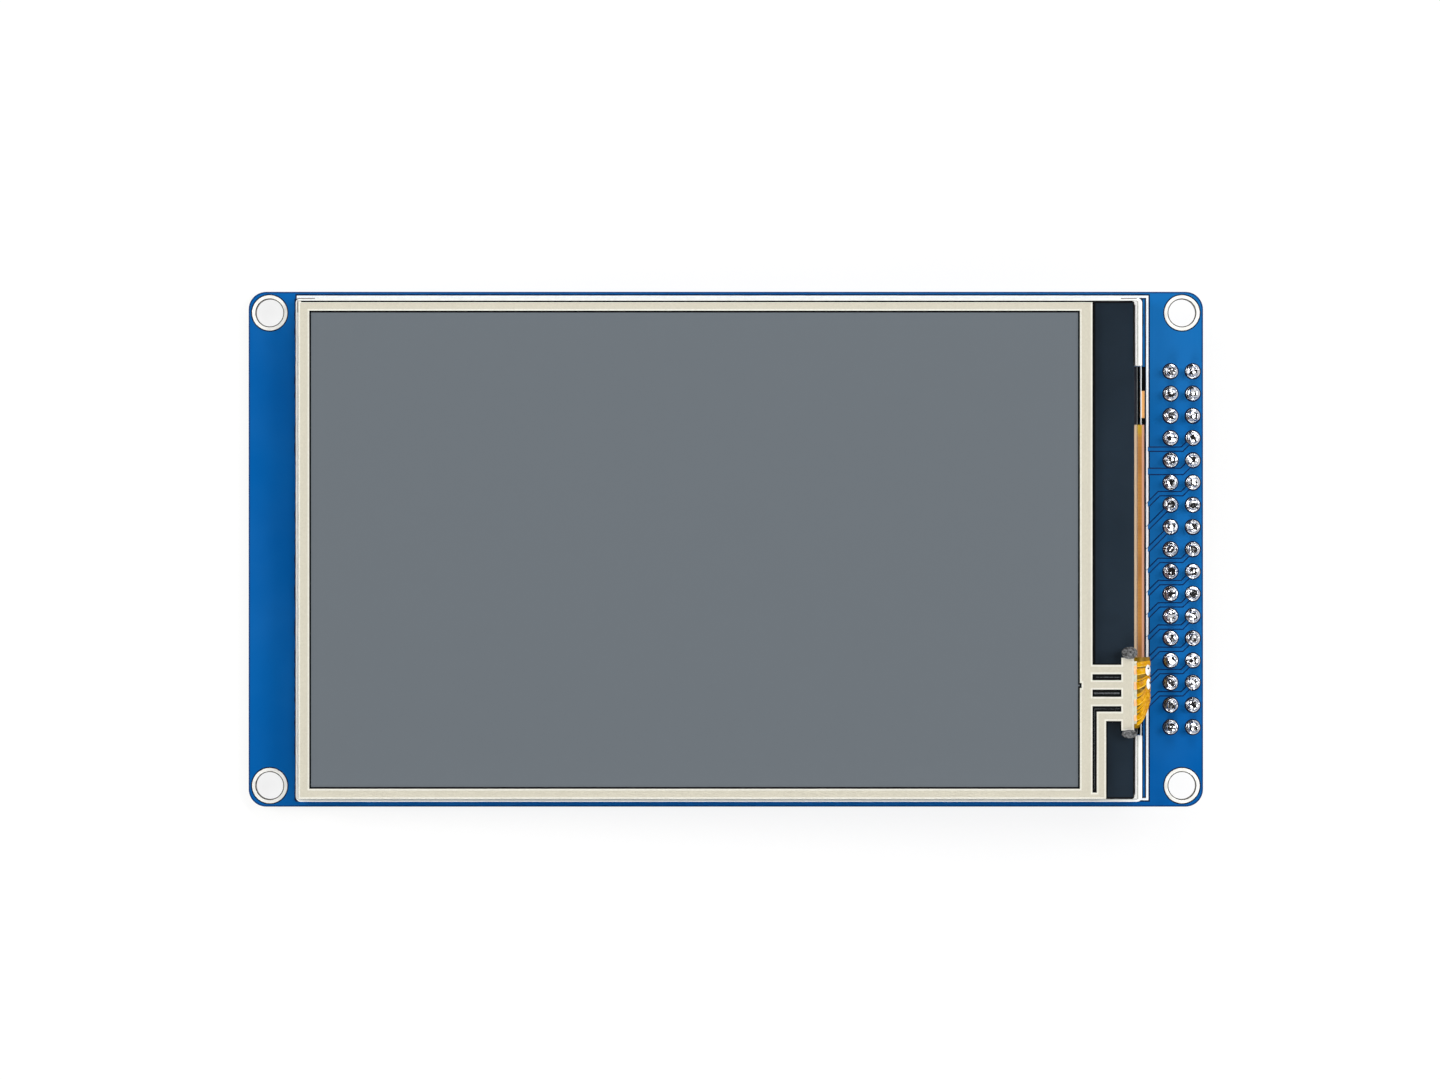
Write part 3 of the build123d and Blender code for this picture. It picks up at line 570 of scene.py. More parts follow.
# Painted light: a hazy layer of the screen's grey that covers the shade near the window's border.
WINDOW_TINT = ClearFinish(
    "window_tint", (117, 125, 132), (121, 128, 134), 0.12, (0.18, 0.3), haze=0.72, gloss=0.08
)
TOP_FILM = ClearFinish(
    "top_film", (190, 194, 198), (206, 210, 214), 0.2, (0.18, 0.3), haze=0.003, gloss=0.12
)
CREAM = Finish("cream_print", (199, 194, 177), (206, 201, 184), 0.25, (0.4, 0.55))
CREAM_RIM = Finish("cream_rim", (216, 213, 200), (228, 226, 216), 0.3, (0.4, 0.55))
RESIDUE = Finish("dried_line", (14, 15, 16), (104, 108, 112), 0.1, (0.5, 0.8), bump=0.03)
GLUE = Finish("glue_grey", (0, 0, 1), (128, 129, 130), 0.3, (0.2, 0.4), specular=0.2, bump=0.06)
AMBER = FlexFinish("flex_amber", (138, 88, 38), (176, 122, 50), 3.5, (0.3, 0.45), specular=0.2)
LED_AMBER = FlexFinish(
    "flex_led", (206, 140, 60), (226, 164, 84), 0.8, (0.3, 0.45),
    outer=(222, 160, 90), line_share=0.1, crest=(222, 160, 90),
)
TAIL_OLIVE = Finish("tail_olive", (78, 58, 2), (150, 112, 6), 0.5, (0.25, 0.4), specular=0.2)
TAIL_YELLOW = Finish("tail_yellow", (180, 120, 0), (214, 160, 0), 0.5, (0.2, 0.35), specular=0.15)
# Painted highlight along the lower edge of each of the tail's conductors.
TAIL_HIGHLIGHT = Finish("tail_highlight", (236, 180, 10), (250, 208, 80), 0.4, (0.2, 0.35))
TAIL_PALE = Finish("tail_pale", (186, 186, 166), (222, 220, 200), 0.4, (0.3, 0.45))
TAIL_PEACH = Finish("tail_peach", (232, 176, 128), (250, 206, 160), 0.3, (0.3, 0.45))
LED_BODY = Finish("led_body", (232, 228, 196), (246, 240, 170), 0.8, (0.4, 0.5))
MOULDED = Finish("moulded_black", (24, 24, 25), (40, 40, 41), 0.2, (0.55, 0.75), bump=0.015)
LEAD_TIN = Finish("lead_tin", (186, 188, 190), (222, 223, 224), 0.4, (0.22, 0.38), 1.0)
FERRITE = Finish("ferrite", (66, 66, 68), (92, 92, 94), 0.25, (0.6, 0.8), bump=0.03)
CERAMIC_TAN = Finish("ceramic_tan", (164, 132, 92), (186, 154, 112), 0.3, (0.4, 0.5))
RESISTOR = Finish("resistor_glaze", (22, 22, 26), (36, 36, 42), 0.3, (0.2, 0.35))
FLOOR_WHITE = FloorFinish("floor_white", (250, 250, 251), (253, 253, 254), 60.0, (0.7, 0.9))


def directions(count: int) -> list[Point]:
    """Return X and Y of evenly spread directions, counted round from +X."""
    angles = [math.tau * step / count for step in range(count)]
    return [(math.cos(angle), math.sin(angle)) for angle in angles]


class MeshMaker:
    """Collects faces in millimetres and makes one object of them, in metres."""

    def __init__(self, name: str) -> None:
        """Start without faces, for an object of the given name."""
        self.name = name
        self.mesh = bmesh.new()

    def grid(self, rows: Sequence[Sequence[Place]], wrap: bool = False, slot: int = 0) -> None:
        """Join rows of points with faces.

        Args:
            rows: rows of equal length, each a list of X, Y and Z.
            wrap: whether each row is a closed ring.
            slot: the faces' material slot.
        """
        points = [[self.mesh.verts.new(Vector(p) * MM) for p in row] for row in rows]
        count = len(rows[0])
        for near, far in zip(points, points[1:]):
            for i in range(count if wrap else count - 1):
                j = (i + 1) % count
                face = self.mesh.faces.new((near[i], near[j], far[j], far[i]))
                face.material_index = slot

    def face(self, points: Sequence[Place]) -> None:
        """Add one flat face."""
        self.mesh.faces.new([self.mesh.verts.new(Vector(p) * MM) for p in points])

    def band(
        self, near: Sequence[Point], far: Sequence[Point], level: float, wrap: bool = False,
        slot: int = 0,
    ) -> None:
        """Fill the level area between two paths with as many points.

        Args:
            near: the first path.
            far: the second path.
            level: height of both.
            wrap: whether each path is closed.
            slot: the faces' material slot.
        """
        self.grid([[(*p, level) for p in path] for path in (near, far)], wrap, slot)

    def rectangle(self, edges: Edges, level: float, slot: int = 0) -> None:
        """Add a level rectangle by its left, right, bottom and top edges."""
        left, right, bottom, top = edges
        self.band([(left, bottom), (right, bottom)], [(left, top), (right, top)], level, slot=slot)

    def turned(
        self, centre: Point, profile: Iterable[Point], segments: int = TURNED_SEGMENTS, slot: int = 0
    ) -> None:
        """Turn a profile about an upright axis.

        Args:
            centre: X and Y of the axis.
            profile: the profile's corners, each a radius and a height.
            segments: how many faces go round.
            slot: the faces' material slot.
        """
        x, y = centre
        rows = [
            [(x + radius * dx, y + radius * dy, height) for dx, dy in directions(segments)]
            for radius, height in profile
        ]
        self.grid(rows, wrap=True, slot=slot)

    def object(
        self, *finishes: Finish, facing: Side | None = None, crease: float = CREASE_ANGLE
    ) -> bpy.types.Object:
        """Turn the collected faces into an object.

        Args:
            finishes: the finishes of the material slots, in order.
            facing: the side that every face looks to, or None for a closed shape.
            crease: angle in degrees from which an edge looks sharp.

        Returns:
            The new object, which rides on nothing yet.
        """
        bmesh.ops.remove_doubles(self.mesh, verts=self.mesh.verts, dist=WELD * MM)
        if facing is None:
            bmesh.ops.recalc_face_normals(self.mesh, faces=self.mesh.faces)
        else:
            self.mesh.normal_update()
            wrong = [f for f in self.mesh.faces if f.normal.z * facing.value < 0]
            bmesh.ops.reverse_faces(self.mesh, faces=wrong)
        return new_object(self.name, self.mesh, finishes, crease)


def new_object(
    name: str, mesh: bmesh.types.BMesh, finishes: Sequence[Finish], crease: float = CREASE_ANGLE
) -> bpy.types.Object:
    """Make a smooth object of a mesh, which is used up.

    Args:
        name: name of the object and its data.
        mesh: the mesh.
        finishes: the finishes of the material slots, in order.
        crease: angle in degrees from which an edge looks sharp.

    Returns:
        The new object, which rides on nothing yet.
    """
    data = bpy.data.meshes.new(name)
    mesh.to_mesh(data)
    mesh.free()
    for finish in finishes:
        data.materials.append(finish.material())
    data.shade_smooth()
    data.set_sharp_from_angle(angle=math.radians(crease))
    made = bpy.data.objects.new(name, data)
    bpy.context.scene.collection.objects.link(made)
    return made


def shift_path(points: Sequence[Point], distance: float, closed: bool = False) -> list[Point]:
    """Move a path sideways, to the left of its direction, with mitred corners of limited length.

    Args:
        points: the path's corners.
        distance: how far the path moves.
        closed: whether the last corner leads back to the first.

    Returns:
        The corners of the moved path.
    """
    places = [Vector(p) for p in points]
    count = len(places)
    moved = []
    for i, place in enumerate(places):
        before = places[i - 1] if closed or i > 0 else None
        after = places[(i + 1) % count] if closed or i < count - 1 else None
        runs = []
        if before is not None:
            runs.append((place - before).normalized())
        if after is not None:
            runs.append((after - place).normalized())
        sides = [Vector((-run.y, run.x)) for run in runs]
        middle = sum(sides, Vector((0.0, 0.0))).normalized()
        moved.append(tuple(place + middle * (distance / max(SHARPEST_MITRE, middle.dot(sides[0])))))
    return moved


@dataclass
class Assembly:
    """A group of pieces that is built and dressed together.

    Attributes:
        nodes: the CAD nodes' objects by name.
    """

    nodes: dict[str, bpy.types.Object]

    def dress(self, finish: Finish, *names: str) -> None:
        """Give CAD nodes a finish.

        Args:
            finish: the finish.
            names: the nodes' names.
        """
        for name in names:
            data = self.nodes[name].data
            data.materials.clear()
            data.materials.append(finish.material())

    def install(self, piece: bpy.types.Object, slot: str, *replaced: str) -> None:
        """Fasten a piece to the object, in place of the nodes that it stands for.

        Args:
            piece: the piece.
            slot: name of a slot, not used.
            replaced: names of the CAD nodes that it stands for.
        """
        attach(piece, "root")
        if replaced:
            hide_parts(*replaced)
        LOG.info("piece %s: %d faces", piece.name, len(piece.data.polygons))

    def soften(self, node: str, name: str, width: float, slot: str, *finishes: Finish) -> None:
        """Put a copy with rounded edges in a node's place.

        Args:
            node: the CAD node.
            name: name of the new piece.
            width: width of the rounding.
            slot: name of a slot, passed on to install.
            finishes: the finishes of the faces and, if there are two, of the rounding.
        """
        mesh = bmesh.new()
        mesh.from_mesh(self.nodes[node].data)
        for face in mesh.faces:
            face.material_index = 0
        bmesh.ops.remove_doubles(mesh, verts=mesh.verts, dist=COPY_WELD * MM)
        bmesh.ops.dissolve_limit(
            mesh, angle_limit=math.radians(FLAT_ANGLE), verts=mesh.verts, edges=mesh.edges
        )
        least = math.radians(EDGE_ANGLE)
        sharp = [e for e in mesh.edges if len(e.link_faces) == 2 and e.calc_face_angle() > least]
        rounded = bmesh.ops.bevel(
            mesh, geom=sharp, offset=width * MM, segments=ROUNDING_SEGMENTS,
            profile=ROUNDING_PROFILE, affect="EDGES", clamp_overlap=True,
        )
        for face in rounded["faces"]:
            face.material_index = len(finishes) - 1
            face.smooth = True
        for layer in list(mesh.loops.layers.float_vector.values()):
            mesh.loops.layers.float_vector.remove(layer)
        piece = new_object(name, mesh, finishes)
        weighted = piece.modifiers.new("even_normals", "WEIGHTED_NORMAL")
        weighted.keep_sharp = True
        self.install(piece, slot, node)


@dataclass
class CircuitBoard(Assembly):
    """The board with its mask, tracks, plated holes and prints.

    The header's rows count from its upper end. Stepped, inner, straight and wide rows are those at
    which a track of that kind starts. The printed line is given by its left, right, bottom and top.
    """

    length: float = 109.0
    width: float = 58.8
    thickness: float = 1.6
    corner_radius: float = 2.0
    corner_steps: int = 12
    edge_width: float = 0.16
    edge_lift: float = 0.004
    hole_x: float = 52.1
    hole_y: float = 27.0
    hole_radius: float = 1.55
    land_radius: float = 2.03
    land_rise: float = 0.035
    land_sink: float = 0.01
    land_fullness: float = 0.6
    land_steps: int = 10
    land_segments: int = 72
    barrel_steps: int = 3
    land_gap: float = 0.12
    land_overlap: float = 0.04
    pin_spacing: float = 2.54
    rows: int = 17
    joint_radius: float = 0.81
    # The dark ring round a joint reaches joint_gap beyond it and is shifted joint_shift towards -X; it
    # is partly the mask gap and partly painted shadow.
    joint_gap: float = 0.13
    joint_shift: float = 0.04
    joint_overlap: float = 0.1
    joint_segments: int = 36
    track_width: float = 0.38
    wide_track_width: float = 0.62
    track_rise: float = 0.04
    track_slope: float = 0.12
    track_overlap: float = 0.01
    track_end_x: float = 48.2
    slope_lift: float = 0.006
    slope_step: float = 0.002
    print_lines: Edges = (-48.84, 48.10, -28.51, 28.81)
    print_profile: tuple[float, ...] = (-1.0, -0.8, -0.3, 0.3, 0.8, 1.0)
    print_width: float = 0.27
    print_shift: float = 0.03
    print_rise: float = 0.03
    # Width of the painted shadow on each side of the printed line.
    print_shadow_width: float = 0.16
    stepped_rows: tuple[int, ...] = (5, 8, 9, 10, 11, 12, 13, 14)
    inner_rows: tuple[int, ...] = (6, 7)
    straight_row: int = 3
    wide_row: int = 4

    def build(self) -> None:
        """Dress the board and add what lies on it."""
        self.dress(BOARD_MASK, "circuit_board")
        self.dress(WHITE_PRINT, "back_marks")
        self.add_edges()
        self.add_track_slopes()
        self.add_print()
        self.add_lands()

    def row_y(self, row: int) -> float:
        """Return the Y of a header row on the board."""
        return ((self.rows - 1) / 2 - row) * self.pin_spacing

    def joint_places(self) -> list[Point]:
        """Return the places of the header's joints, by row."""
        columns = (self.hole_x - self.pin_spacing / 2, self.hole_x + self.pin_spacing / 2)
        return [(x, self.row_y(row)) for row in range(self.rows) for x in columns]

    def hole_places(self) -> list[Point]:
        """Return the places of the mounting holes, in the order of their platings."""
        signs = [(-1, 1), (1, 1), (1, -1), (-1, -1)]
        return [(x * self.hole_x, y * self.hole_y) for x, y in signs]

    def outline(self) -> list[Point]:
        """Return the corners of the printed line round the screen's place."""
        left, right, bottom, top = self.print_lines
        return [(left, bottom), (right, bottom), (right, top), (left, top)]

    def routes(self) -> list[tuple[list[Point], float]]:
        """Trace the tracks on the front.

        Returns:
            The corners of each track, with its width.
        """
        half = self.pin_spacing / 2
        outer_x = self.hole_x + half
        inner_x = self.hole_x - half
        paths = []
        for row in self.stepped_rows:
            y = self.row_y(row)
            points = [
                (outer_x, y),
                (self.hole_x, y - half),
                (self.track_end_x + half, y - half),
                (self.track_end_x, y - 2 * half),
            ]
            paths.append((points, self.track_width))
        for row in self.inner_rows:
            y = self.row_y(row)
            run = inner_x - self.track_end_x
            paths.append(([(inner_x, y), (self.track_end_x, y - run)], self.track_width))
        straight = ((self.straight_row, self.track_width), (self.wide_row, self.wide_track_width))
        for row, width in straight:
            y = self.row_y(row)
            points = [(outer_x, y), (self.hole_x, y - half), (self.track_end_x, y - half)]
            paths.append((points, width))
        return paths

    def add_edges(self) -> None:
        """Add a darker blue strip along the board's edge, on both faces."""
        maker = MeshMaker("mask_edge")
        for level in (self.thickness + self.edge_lift, -self.edge_lift):
            maker.band(self.rounded(0.0), self.rounded(self.edge_width), level, wrap=True)
        self.install(maker.object(DARK_EDGE_STRIP), "board_mask")

    def rounded(self, inset: float) -> list[Point]:
        """Return the board's outline with its round corners.

        Args:
            inset: how far the outline lies inside the board's edge.

        Returns:
            The outline's points.
        """
        radius = self.corner_radius - inset
        ring = []
        for quarter, (side, end) in enumerate([(1, 1), (-1, 1), (-1, -1), (1, -1)]):
            x = side * (self.length / 2 - self.corner_radius)
            y = end * (self.width / 2 - self.corner_radius)
            for step in range(self.corner_steps + 1):
                angle = math.pi / 2 * (quarter + step / self.corner_steps)
                ring.append((x + radius * math.cos(angle), y + radius * math.sin(angle)))
        return ring

    def add_track_slopes(self) -> None:
        """Add the slopes where the mask runs down from tracks, coloured with painted shade, and dark
        rings round the joints and the holes, partly their mask gaps and partly painted shadow, with
        bands of painted shadow beside the printed line.
        """
        maker = MeshMaker("mask_slopes_shade")
        foot = self.thickness + self.slope_lift
        top = self.thickness + self.track_rise + self.slope_step
        # The slopes beside each track carry the painted shade of the tracks' edges.
        for points, width in self.routes():
            for side in (1, -1):
                crest = shift_path(points, side * (width / 2 - self.track_overlap))
                base = shift_path(points, side * (width / 2 + self.track_slope))
                maker.grid([[(*p, top) for p in crest], [(*p, foot) for p in base]])
        # Dark rings round the joints, shifted towards -X, and round the holes: partly their mask gaps,
        # partly painted shadow.
        ring = foot + self.slope_step
        radii = (self.joint_radius - self.joint_overlap, self.joint_radius + self.joint_gap)
        profile = [(radius, ring) for radius in radii]
        for x, y in self.joint_places():
            maker.turned((x - self.joint_shift, y), profile, self.joint_segments, slot=1)
        radii = (self.land_radius - self.land_overlap, self.land_radius + self.land_gap)
        for place in self.hole_places():
            maker.turned(place, [(radius, ring) for radius in radii], slot=1)
        # Bands of painted shadow on both sides of the printed line.
        for side in (1, -1):
            aside = side * self.print_width / 2 - self.print_shift
            near = shift_path(self.outline(), aside, closed=True)
            far = shift_path(near, side * self.print_shadow_width, closed=True)
            maker.band(near, far, ring, wrap=True, slot=1)
        self.install(maker.object(TRACK_EDGE_SHADE, DARK_RING, facing=Side.FRONT), "board_mask")

    def add_print(self) -> None:
        """Add the printed line round the screen's place, with its rounded edges."""
        rows = []
        for share in self.print_profile:
            aside = share * self.print_width / 2 - self.print_shift
            level = self.thickness + self.print_rise * math.sqrt(1 - share * share)
            rows.append([(*p, level) for p in shift_path(self.outline(), aside, closed=True)])
        maker = MeshMaker("outline_band")
        maker.grid(rows, wrap=True)
        band = maker.object(WHITE_PRINT, facing=Side.FRONT)
        self.install(band, "white_print", "outline_print")

    def add_lands(self) -> None:
        """Add the tinned barrels, darkened with painted shade, and the domed lands of the mounting
        holes.
        """
        span = self.land_radius - self.hole_radius
        upper = []
        for step in range(self.land_steps + 1):
            angle = math.pi * step / self.land_steps
            radius = self.hole_radius + span * (1 - math.cos(angle)) / 2
            rise = self.land_rise * math.sin(angle) ** self.land_fullness
            upper.append((radius, self.thickness - self.land_sink + rise))
        lower = [(radius, self.thickness - height) for radius, height in reversed(upper)]
        turn = self.barrel_steps
        land = [*upper[turn:], *lower[:-turn]]
        barrel = [*lower[-turn - 1:], *upper[:turn + 1]]
        for number, place in enumerate(self.hole_places(), start=1):
            maker = MeshMaker(f"hole_land_{number}")
            maker.turned(place, land, self.land_segments)
            # The barrel and the hole's rim take the painted shade.
            maker.turned(place, barrel, self.land_segments, slot=1)
            node = f"mounting_hole_plating_{number}"
            self.install(maker.object(TIN_LAND_AND_GLINT, BARREL_SHADE), "tinned_copper", node)


@dataclass(frozen=True)
class JointShape:
    """One solder joint's own shape.

    Attributes:
        flats: its flats, each with its slope along X and Y and its height at the middle.
        steps: heights of its steps, from the highest.
        tip: height of the solder over the pin's end.
        half_width: half the width of that solder.
        lean: slope of that solder along X and Y.
    """

    flats: list[Place]
    steps: list[float]
    tip: float
    half_width: float
    lean: Point


@dataclass(frozen=True)
class FlatSet:
    """The flats of one kind that every joint has.

    Attributes:
        count: how many there are.
        spread: how far one may turn aside, as a share of their spacing.
        tilt: least and greatest tilt in degrees.
        shares: least and greatest height, as shares of the usual one.
    """

    count: int
    spread: float
    tilt: Span
    shares: Span


@dataclass
class PinHeader(Assembly):
    """The pin header: its moulded strip, its pins and their solder joints.

    Tilts are in degrees. The hollow side is the way, in radians from +X, in which the solder is
    drawn thin.
    """

    places: list[Point] = field(default_factory=list)
    strip_rounding: float = 0.07
    board_top: float = 1.6
    joint_radius: float = 0.81
    rim_height: float = 0.05
    crown_height: float = 0.66
    rim_slope: float = 2.2
    outer: FlatSet = FlatSet(5, 0.35, (30.0, 44.0), (0.9, 1.1))
    inner: FlatSet = FlatSet(3, 0.4, (20.0, 34.0), (0.8, 1.1))
    hollow_tilt: Span = (4.0, 13.0)
    hollow_side: float = 2.5
    sharpness: float = 46.0
    steps: int = 2
    step_height: float = 0.07
    step_levels: Span = (0.16, 0.5)
    pin_half_width: Span = (0.5, 0.54)
    pin_edge: float = 0.12
    pin_height: Span = (1.46, 1.54)
    pin_lean: float = 0.2
    pin_roundness: int = 3
    pin_lump_height: float = 0.12
    pin_lump_width: float = 0.46
    pin_lump_shift: float = 1.9
    lump_height: float = 0.03
    lump_width: float = 0.5
    lump_shift: float = 3.7
    lump_fade: float = 5.0
    least_level: float = 0.02
    rim_shares: tuple[float, ...] = (1.0, 0.985, 0.96)
    crown_share: float = 0.94
    crown_rows: int = 23
    segments: int = 64
    crease: float = 75.0
    seed: int = 11

    def build(self) -> None:
        """Dress the header and make its joints."""
        self.dress(PIN_METAL, "header_pins")
        self.soften(
            "header_body", "header_strip", self.strip_rounding, "header_black", HEADER_BLACK
        )
        self.add_joints()

    def slope(self, chance: random.Random, angle: float, tilt: Span) -> float:
        """Return the slope of a flat, which is gentle on the side where the solder is drawn thin.

        Args:
            chance: source of the random numbers.
            angle: the way that the flat looks, in radians from +X.
            tilt: least and greatest tilt of a steep flat, in degrees.

        Returns:
            The slope.
        """
        steep = chance.uniform(*tilt)
        gentle = chance.uniform(*self.hollow_tilt)
        share = (1 - math.cos(angle - self.hollow_side)) / 2
        return math.tan(math.radians(gentle + (steep - gentle) * min(1.0, share * 2)))

    def flats(self, chance: random.Random) -> list[Place]:
        """Return the flats of one joint.

        Args:
            chance: source of the random numbers.

        Returns:
            Slope along X, slope along Y and height at the joint's middle, by flat.
        """
        flats = []
        turn = chance.uniform(0, math.tau)
        for kind in (self.outer, self.inner):
            for index in range(kind.count):
                aside = chance.uniform(-kind.spread, kind.spread)
                angle = turn + math.tau * (index + aside) / kind.count
                slope = self.slope(chance, angle, kind.tilt)
                share = chance.uniform(*kind.shares)
                if kind is self.outer:
                    height = self.rim_height + slope * self.joint_radius * share
                else:
                    height = self.crown_height * share
                flats.append((slope * math.cos(angle), slope * math.sin(angle), height))
        return flats

    def shape(self, chance: random.Random) -> JointShape:
        """Return the next joint's own shape.

        Args:
            chance: source of the random numbers.

        Returns:
            The shape.
        """
        flats = self.flats(chance)
        steps = sorted([chance.uniform(*self.step_levels) for _ in range(self.steps)], reverse=True)
        tip = chance.uniform(*self.pin_height)
        half_width = chance.uniform(*self.pin_half_width)
        lean_x, lean_y = [chance.uniform(-self.pin_lean, self.pin_lean) for _ in range(2)]
        return JointShape(flats, steps, tip, half_width, (lean_x, lean_y))

    def solder_level(self, x: float, y: float, flats: Sequence[Place]) -> float:
        """Return the height of the solder round the pin, above the board.

        Args:
            x: place along X from the joint's middle.
            y: place along Y from the joint's middle.
            flats: the joint's flats.

        Returns:
            The height.
        """
        rim = self.rim_height + self.rim_slope * (self.joint_radius - math.hypot(x, y))
        levels = [rim, *[height - along * x - up * y for along, up, height in flats]]
        return -math.log(sum(math.exp(-self.sharpness * z) for z in levels)) / self.sharpness

    def pin_share(self, x: float, y: float, half_width: float) -> float:
        """Return how far the solder over the pin's end stands up at a place.

        Args:
            x: place along X from the pin's middle.
            y: place along Y from the pin's middle.
            half_width: half the width of the solder there.

        Returns:
            1 over the pin's end and 0 beside it.
        """
        power = self.pin_roundness
        off_middle = (abs(x) ** power + abs(y) ** power) ** (1 / power)
        share = 1 - min(1.0, max(0.0, (off_middle - half_width) / self.pin_edge + 0.5))
        return share * share * (3 - 2 * share)

    def joint_ring(self, share: float, number: int, shape: JointShape) -> list[Place]:
        """Return one ring of points on a joint.

        Args:
            share: the ring's radius as a share of the joint's.
            number: the joint's number, which its lumps follow.
            shape: the joint's own shape.

        Returns:
            The points, with X and Y from the joint's middle and their heights above the board.
        """
        ring = []
        for dx, dy in directions(self.segments):
            x = self.joint_radius * share * dx
            y = self.joint_radius * share * dy
            level = self.solder_level(x, y, shape.flats)
            spot = Vector((x / self.lump_width, y / self.lump_width, number * self.lump_shift))
            level += self.lump_height * noise.noise(spot) * min(1.0, (1 - share) * self.lump_fade)
            for start in shape.steps:
                level -= min(self.step_height, max(0.0, level - start))
            width = self.pin_lump_width
            spot = Vector((x / width, y / width, number * self.pin_lump_shift))
            top = shape.tip + shape.lean[0] * x + shape.lean[1] * y
            top += self.pin_lump_height * noise.noise(spot)
            half_width = shape.half_width + self.pin_lump_height / 2 * noise.noise(spot / 2)
            level += max(0.0, top - level) * self.pin_share(x, y, half_width)
            ring.append((x, y, max(self.least_level, level)))
        return ring

    def add_joints(self) -> None:
        """Make the joints: solder drawn up in uneven flats and steps, with a cap on each pin."""
        chance = random.Random(self.seed)
        maker = MeshMaker("solder_joints")
        shares = list(self.rim_shares)
        for row in range(self.crown_rows + 1):
            shares.append(self.crown_share - self.crown_share * row / self.crown_rows)
        for number, (px, py) in enumerate(self.places):
            shape = self.shape(chance)
            rows = []
            for share in shares:
                ring = self.joint_ring(share, number, shape)
                rows.append([(px + x, py + y, self.board_top + level) for x, y, level in ring])
            rows.insert(0, [(x, y, self.board_top) for x, y, _ in rows[0]])
            maker.grid(rows, wrap=True)
        self.install(maker.object(SOLDER, crease=self.crease), "solder", "header_solder_joints")


